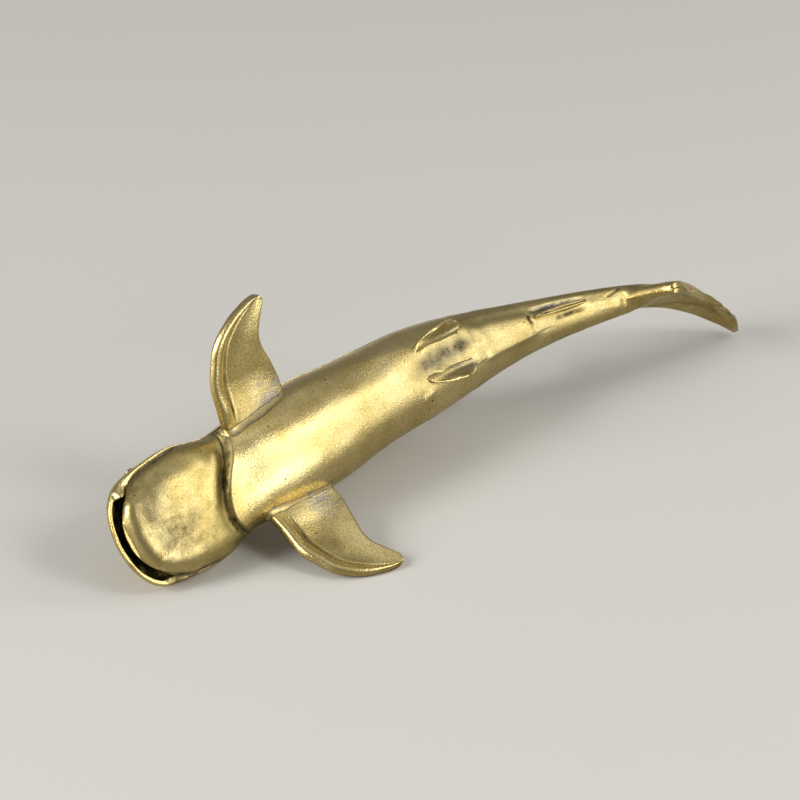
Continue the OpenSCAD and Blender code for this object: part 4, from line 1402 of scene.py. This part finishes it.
    def fillet(self) -> bpy.types.Object:
        """Solder round the root: a hollow-faced fillet whose leg wavers between 0.72 and 1 of its size.

        Returns:
            The finished piece.
        """
        n = self.fillet_points
        s = np.linspace(0, 2, n, endpoint=False)
        c = (1 - np.cos(np.pi * np.where(s < 1, s, 2 - s))) / 2
        face = np.where(s < 1, 1.0, -1.0)
        leg = self.leg * (0.86 + 0.14 * np.sin(s * 17.0 + self.hand) * np.sin(s * 6.3 + 1.0))
        turn = np.radians(90 + 60 * (1 - ease(c * 8)) - 60 * (1 - ease((1 - c) * 8))) * face
        root = self.point(np.zeros(n), c, face)
        bx, bz = root[:, 0] + leg * np.cos(turn), root[:, 2] + leg * np.sin(turn)
        foot = np.stack([bx, self.hand * (FORM.flank_y(bx, bz, self.hand) - self.foot_sunk), bz], axis=-1)
        top = self.point(leg / self.reach, c, face)
        inner = root - np.array([0.0, self.hand * self.inner_sunk, 0.0])
        q = np.linspace(0, 1, 9)[None, :, None]
        middle = 0.38 * root[:, None] + 0.31 * foot[:, None] + 0.31 * top[:, None]
        arc = (1 - q) ** 2 * foot[:, None] + 2 * q * (1 - q) * middle + q**2 * top[:, None]
        loops = np.concatenate([inner[:, None], arc], axis=1)
        ring = np.concatenate([loops, loops[:1]], axis=0)
        foot_dirt = np.array([0.9, 0.9, 0.5, 0.2, 0, 0, 0, 0.1, 0.3, 0.5])[None, :] * np.ones((n + 1, 1))
        side = side_name(self.hand)
        obj = loft(f"{side}_root_solder_run", ring, {"oxide_and_shade": foot_dirt}, 1)
        return fit(obj, self.solder, "tin_solder", f"{side}_root_solder")


@dataclass
class UprightFin:
    """A fin that stands on the body's midline or beside it."""

    name: str
    node: str
    brass: bpy.types.Material
    front: float
    root: float
    top: float
    thick: float
    lead: Points2
    trail: Points2
    under: bool = False
    off: float = 0.0
    ribs: float = 0.0
    grime: float = 0.0
    edge_r: float = 0.3
    sunk: float = 0.12
    crown_share: float = 0.08
    ripple: float = 0.02
    rows: int = 90
    face_points: int = 60

    def build(self) -> bpy.types.Object:
        """The fin: loops round its section at each height, thinner towards the tip, with rounded edges.

        Returns:
            The finished piece.
        """
        t = 1 - (1 - np.linspace(0.0, 1.0, self.rows)[:, None]) ** 1.8
        c, face = both_faces(self.face_points)
        c = c * np.ones_like(t)
        tt = t * np.ones_like(c)
        sx, sr = plan(self.lead, self.trail, tt, c)
        rounded = edge_round(np.minimum(c, 1 - c) * self.root, self.edge_r)
        crown = edge_round(1 - tt, self.crown_share, 0.02)
        y = face * self.thick / 2 * lens(c) * rounded * crown * mix(1.2, 0.6, tt) - self.off
        xr = self.front + c * self.root
        foot = FORM.tail_at(xr, y) + self.sunk if self.under else FORM.back_at(xr, y) - self.sunk
        z = mix(foot, self.top, sr) + self.ribs * ease(1.0 - crown / 0.6)
        x = self.front + sx * self.root
        dirt = self.grime + 0.7 * ease(1 - tt / 0.14) + (0.8 * ease(1.0 - crown / 0.5) if self.ribs else 0.0)
        moved, marks = worked(FORM.on_axis(x, y, z), self.ripple * wobble(x, z, 5.5), dirt, np.zeros_like(c))
        return fit(loft(self.name, moved, marks), self.brass, "cast_brass", self.node)


@dataclass
class PelvicFin:
    """A pelvic fin: a thin leaf folded along its middle, leaning out from the belly."""

    hand: int
    brass: bpy.types.Material
    root: float = 7.8
    gap: float = 1.8
    place: float = 1.85
    reach: float = 2.1
    off: float = 1.0
    lean: float = 27.0
    foot_share: float = 0.4
    edge_r: float = 0.25
    raised: float = 0.15
    fold: float = 0.26
    rim: float = 0.3
    ripple: float = 0.02
    rows: int = 60
    face_points: int = 60
    lead: Points2 = ((0, 0), (0.12, 0.42), (0.42, 0.82), (0.72, 0.99))
    trail: Points2 = ((1.02, 0), (1.1, 0.34), (1.05, 0.72), (0.86, 1))

    def build(self) -> bpy.types.Object:
        """The leaf: loops round its section, its foot on the belly, with a raised edge and a fold line.

        Returns:
            The finished piece.
        """
        side = side_name(self.hand)
        front = FORM.belly_end - self.gap - self.root
        t = np.linspace(0.0, 1.0, self.rows)[:, None]
        c, face = both_faces(self.face_points)
        c = c * np.ones_like(t)
        tt = t * np.ones_like(c)
        sx, sr = plan(self.lead, self.trail, tt, c)
        rounded = edge_round(np.minimum(c, 1 - c) * self.root, self.edge_r)
        thick = self.place * self.foot_share * lens(c) * rounded * mix(1.25, 0.62, tt)
        y0 = self.hand * (self.place + face * thick / 2) - self.off
        z0 = FORM.belly_at(front + c * self.root, y0) + self.raised * (1 - tt)
        w = math.radians(self.lean)
        r = sr * self.reach
        ridge, groove = hump(tt - 0.92, 0.11), hump(tt - 0.55, 0.2)
        fold = (self.fold * groove - self.rim * ridge) * np.where(face < 0, 1.0, 0.0) * rounded
        x = front + sx * self.root
        y = y0 + self.hand * (r * math.cos(w) - fold * math.sin(w))
        grid = FORM.on_axis(x, y, z0 - r * math.sin(w) + fold * math.cos(w))
        dirt = np.where(face < 0, 0.25 * groove, 0.3 * ease(1 - tt / 0.3))
        grey = np.where(face < 0, 0.3, 0.0) * ease((c - 0.3) / 0.4)
        moved, marks = worked(grid, self.ripple * wobble(x, y, 6.6), dirt, grey)
        return fit(loft(f"{side}_pelvic_leaf", moved, marks), self.brass, "cast_brass", f"{side}_pelvic_fin")


@dataclass
class CaudalFin:
    """The tail fin: a long upper lobe and a short lower one on one web, bending on to the right."""

    brass: bpy.types.Material
    bend_r: float = 33.0
    upper_lobe: float = 22.5
    upper_tip: float = 8.2
    lower_tip: float = 10.0
    web: float = 0.9
    bead: float = 0.8
    bead_swell: float = 1.6
    span: float = 20.0
    lower_r: float = 1.8
    upper_r: float = 0.5
    corner_cut: float = 1.5
    hollow: float = 0.6
    hollow_share: float = 0.64
    groove: float = 0.12
    groove_share: float = 0.8
    nick: float = 0.8
    nick_share: float = 0.68
    curl: float = 0.5
    ripple: float = 0.03
    gap: float = 0.01
    rows: int = 150
    face_points: int = 96
    trail: Points2 = (
        (0.11, 0), (0.215, 0.14), (0.35, 0.28), (0.5, 0.43),
        (0.64, 0.56), (0.79, 0.71), (0.91, 0.855), (1, 1))

    def on_tail(self, q: Array, y: Array, h: Array) -> Array:
        """Points on the fin's own tighter arc, which sets out at the angle a0 that the axis ends with.

        Args:
            q: Distance behind the tail stock's end.
            y: Distance to the right of the arc.
            h: Height above the axis.

        Returns:
            Points with their three coordinates last.
        """
        a0 = FORM.body_len * (1 - FORM.bend_share) / FORM.bend_r
        a = q / self.bend_r
        base = FORM.on_axis(np.array(FORM.body_len), np.array(0.0), np.array(0.0))
        lx, ly = self.bend_r * np.sin(a), self.bend_r * (1 - np.cos(a))
        return np.stack([base[0] + lx * np.cos(a0) - ly * np.sin(a0) - y * np.sin(a0 + a),
                         base[1] + lx * np.sin(a0) + ly * np.cos(a0) + y * np.cos(a0 + a),
                         h - FORM.lift_at(FORM.body_len + q)], axis=-1)

    def build(self) -> bpy.types.Object:
        """The fin: rows u run from the tail stock's end to the trailing edge.

        Loops v go round both faces, from the lower lobe's tip at 0 to the upper lobe's at 1.

        Returns:
            The finished piece.
        """
        v, face = both_faces(self.face_points)
        u = np.linspace(0.0, 1.0, self.rows)[:, None] ** 1.2 * np.ones_like(v)
        v = v * np.ones_like(u)
        a = -np.cos(np.pi * v)
        sx, sr = spline(self.trail, v)
        q = sx * self.upper_lobe * u
        tip_cut = self.corner_cut * np.clip(1 - v / 0.16, 0.0, 1.0) ** 2 * u**6
        h = mix(self._root_height(a), mix(-self.lower_tip, self.upper_tip, sr), u) + tip_cut
        grow, stop = ease((u - 0.05) * 2.5), ease((1.05 - u) * 4)
        hollow = self.hollow * hump(v - self.hollow_share, 0.18) * grow * stop
        curl = self.curl * np.clip(1 - v / 0.4, 0.0, 1.0) ** 2 * u**2
        fade = ease(u / mix(0.85, 0.5, hump(v - 0.5, 0.18)))
        y = face * self._thickness(u, v, a, fade) - hollow * np.where(face > 0, 1.0, 0.85) + curl
        nick = self.nick * hump(v - self.nick_share, 0.02) * hump(1 - u, 0.06)
        grid = self.on_tail(q + self.gap - nick, y, h)
        groove = self.groove * hump(v - self.groove_share, 0.025) * ease((u - 0.2) * 4)
        # Painted shade: the lower part of the tail fin's left face is darkened.
        left_face_shade = ease((0.45 - v) / 0.2) * ease(1.1 - u) * (face < 0)
        dirt = 0.3 * hump(v - self.groove_share, 0.04) + 0.3 * left_face_shade
        moved, marks = worked(grid, (self.ripple * wobble(q, h, 7.7) - groove) * fade, dirt, np.zeros_like(v))
        return fit(loft("caudal_blade", moved, marks), self.brass, "cast_brass", "caudal_fin")

    def _root_height(self, a: Array) -> Array:
        """Height round the root, from the tail stock's underside at a = -1 to its back at a = 1.

        Args:
            a: Place round the root, from -1 to 1.

        Returns:
            The height.
        """
        end = np.array(FORM.body_len)
        low = -FORM.land * np.clip(-a / 0.1, 0.0, 1.0) + (FORM.belly_z(end) - FORM.land) * a
        return np.where(a > 0, FORM.back_z(end) * a, low)

    def _thickness(self, u: Array, v: Array, a: Array, fade: Array) -> Array:
        """Half the thickness: the tail stock's section, fading into the web and its rolled edges.

        Args:
            u: Share of the way to the trailing edge.
            v: Share of the way from the lower lobe's tip to the upper's.
            a: Place round the root, from -1 to 1.
            fade: Share of the web against the tail stock's section.

        Returns:
            Half the thickness in mm.
        """
        lower_roll = np.clip(1 - (v / 0.42) ** 2, 0, None)
        upper_roll = np.clip(1 - ((1 - v - 0.08) / 0.13) ** 2, 0, None)
        near = np.minimum(v, 1 - v) * self.span
        rounded = edge_round(near, np.where(v < 0.5, self.lower_r, self.upper_r))
        rolled = self.bead / 2 * self.bead_swell * (lower_roll + upper_roll)
        web = (self.web / 2 * mix(1.0, 0.5, u) + rolled) * edge_round(1 - u, 0.03, 0.02)
        section = bulge(a, mix(2.0, 3.2, ease(u * 3)))
        stock = np.maximum(FORM.half_w(np.array(FORM.body_len)) * section, self.web / 8)
        return mix(stock, web * rounded, fade)


@dataclass(frozen=True)
class Softbox:
    """A soft lamp, placed by its direction from the ornament as the camera sees it. Sizes are in metres."""

    name: str
    right: float
    away: float
    up: float
    size: tuple[float, float]
    power: float
    distance: float = 0.6


@dataclass(frozen=True)
class Studio:
    """The table, the lamps and the camera.

    The camera's place comes from the photograph: origin is where the snout's end lies from it, to the right,
    up and towards it in mm, and the angles are those at which the shark's x and y run across the picture.
    """

    focal_px: float = 3860.0
    frame_px: float = 800.0
    film_mm: float = 36.0
    origin: tuple[float, float, float] = (-34.2632, -18.1641, -469.0)
    x_towards: float = -0.535
    x_angle: float = 31.3
    y_angle: float = -62.6
    aim: tuple[float, float, float] = (-0.02, 0.0, 0.01)
    table_half: float = 3.0
    surround: str = "#FFFFFF"
    surround_strength: float = 0.24
    lamps: tuple[Softbox, ...] = (
        Softbox("key_softbox", 0.674, -0.314, 0.669, (0.20, 0.20), 0.95),
        Softbox("side_softbox", 0.761, 0.204, 0.616, (0.26, 0.26), 0.5),
        Softbox("low_softbox", 0.974, 0.085, 0.208, (0.26, 0.20), 0.45),
        Softbox("edge_softbox", 0.803, -0.562, 0.19, (0.26, 0.20), 0.9),
        Softbox("left_softbox", -0.78, -0.44, 0.44, (0.22, 0.34), 3.2),
        Softbox("top_softbox", 0.10, 0.10, 1.0, (0.30, 0.30), 0.2),
    )

    def view_axes(self) -> Array:
        """The shark's axes as the camera sees them: to the right, up and towards the camera.

        Returns:
            Rows are the shark's x, y and z.
        """
        c = self.x_towards
        m = math.sqrt(1 - c * c)
        x_turn, y_turn = math.radians(self.x_angle), math.radians(self.y_angle)
        a = np.array([m * math.cos(x_turn), m * math.sin(x_turn), c])
        u = np.array([math.cos(y_turn), math.sin(y_turn)])
        r = -(a[0] * u[0] + a[1] * u[1]) / c
        k = 1 / math.sqrt(1 + r * r)
        side = np.array([k * u[0], k * u[1], r * k])
        return np.stack([a, side, np.cross(a, side)])

    def camera_axes(self) -> Array:
        """Columns are the camera's right, up and back in the row frame."""
        view = self.view_axes()
        return np.stack([REST.turn(view[:, k]) for k in range(3)], axis=1)

    def camera(self) -> bpy.types.Object:
        """Camera at the photograph's viewing angle: lens = film width x focal length / frame width.

        Returns:
            The camera.
        """
        data = bpy.data.cameras.new("camera")
        data.sensor_width = self.film_mm
        data.lens = self.film_mm * self.focal_px / self.frame_px
        data.clip_start, data.clip_end = 0.01, 20.0
        cam = bpy.data.objects.new("camera", data)
        cam.location = REST.to_row(-np.array(self.origin) @ self.view_axes().T)
        cam.rotation_mode = "QUATERNION"
        cam.rotation_quaternion = mathutils.Matrix(self.camera_axes().tolist()).to_quaternion()
        bpy.context.collection.objects.link(cam)
        bpy.context.scene.camera = cam
        return cam

    def light(self) -> None:
        """Hangs each softbox in its direction, facing the ornament."""
        right = self.camera_axes()[:, 0] * np.array([1.0, 1.0, 0.0])
        right = right / np.linalg.norm(right)
        away = np.array([-right[1], right[0], 0.0])
        for box in self.lamps:
            d = box.right * right + box.away * away + np.array([0.0, 0.0, box.up])
            d = d / np.linalg.norm(d)
            data = bpy.data.lights.new(box.name, "AREA")
            data.shape = "RECTANGLE"
            data.size, data.size_y = box.size
            data.energy = box.power
            lamp = bpy.data.objects.new(box.name, data)
            lamp.location = np.array(self.aim) + d * box.distance
            lamp.rotation_mode = "QUATERNION"
            lamp.rotation_quaternion = mathutils.Vector(-d).to_track_quat("-Z", "Y")
            bpy.context.collection.objects.link(lamp)

    def table(self) -> bpy.types.Object:
        """A wide sheet of pale paper on the table, z = 0.

        Returns:
            The sheet.
        """
        s = self.table_half
        mesh = bpy.data.meshes.new("paper")
        mesh.from_pydata([(-s, -s, 0), (s, -s, 0), (s, s, 0), (-s, s, 0)], [], [(0, 1, 2, 3)])
        obj = bpy.data.objects.new("paper", mesh)
        mesh.materials.append(StudioPaper().build())
        bpy.context.collection.objects.link(obj)
        return obj

    def world(self) -> None:
        """Plain white surroundings at a low level."""
        world = bpy.data.worlds.new("studio")
        world.use_nodes = True
        node = world.node_tree.nodes["Background"]
        node.inputs["Color"].default_value = hex_rgb(self.surround)
        node.inputs["Strength"].default_value = self.surround_strength
        bpy.context.scene.world = world


def main() -> None:
    """Builds the ornament piece by piece, then the studio."""
    logging.basicConfig(level=logging.INFO, format="%(name)s %(message)s")
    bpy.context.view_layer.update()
    bpy.context.scene.view_settings.view_transform = "Standard"
    brass, solder = CastBrass().build(), TinSolder().build()
    castings = Castings(brass)
    castings.back()
    castings.belly()
    castings.jaw()
    for hand, droop, valley in ((RIGHT, 33.5, 0.14), (LEFT, 27.0, 0.0)):
        castings.eye(hand)
        fin = PectoralFin(hand, brass, solder, droop, valley)
        fin.blade()
        fin.fillet()
        PelvicFin(hand, brass).build()
    UprightFin("first_dorsal_blade", "first_dorsal_fin", brass, front=44.0, root=10.0, top=18.8, thick=1.5,
               lead=((0, 0), (0.2, 0.34), (0.44, 0.67), (0.76, 0.92), (1.02, 1)),
               trail=((1, 0), (0.93, 0.3), (0.96, 0.58), (1.07, 0.84), (1.2, 0.96)), grime=0.05).build()
    UprightFin("second_dorsal_blade", "second_dorsal_fin", brass, front=65.5, root=5.5, top=7.4, thick=0.9,
               lead=((0, 0), (0.3, 0.4), (0.62, 0.78), (0.95, 1)),
               trail=((1, 0), (1.02, 0.3), (1.1, 0.6), (1.25, 0.85)), grime=0.08).build()
    UprightFin("anal_ridge", "anal_fin", brass, front=68.0, root=8.0, top=-4.0, thick=0.9, grime=0.05,
               lead=((0, 0), (0.02, 0.5), (0.06, 1)), trail=((1, 0), (1, 0.5), (0.97, 1)),
               under=True, off=1.0, ribs=0.22).build()
    CaudalFin(brass).build()
    studio = Studio()
    studio.camera()
    studio.light()
    studio.table()
    studio.world()


if __name__ == "__main__":
    main()
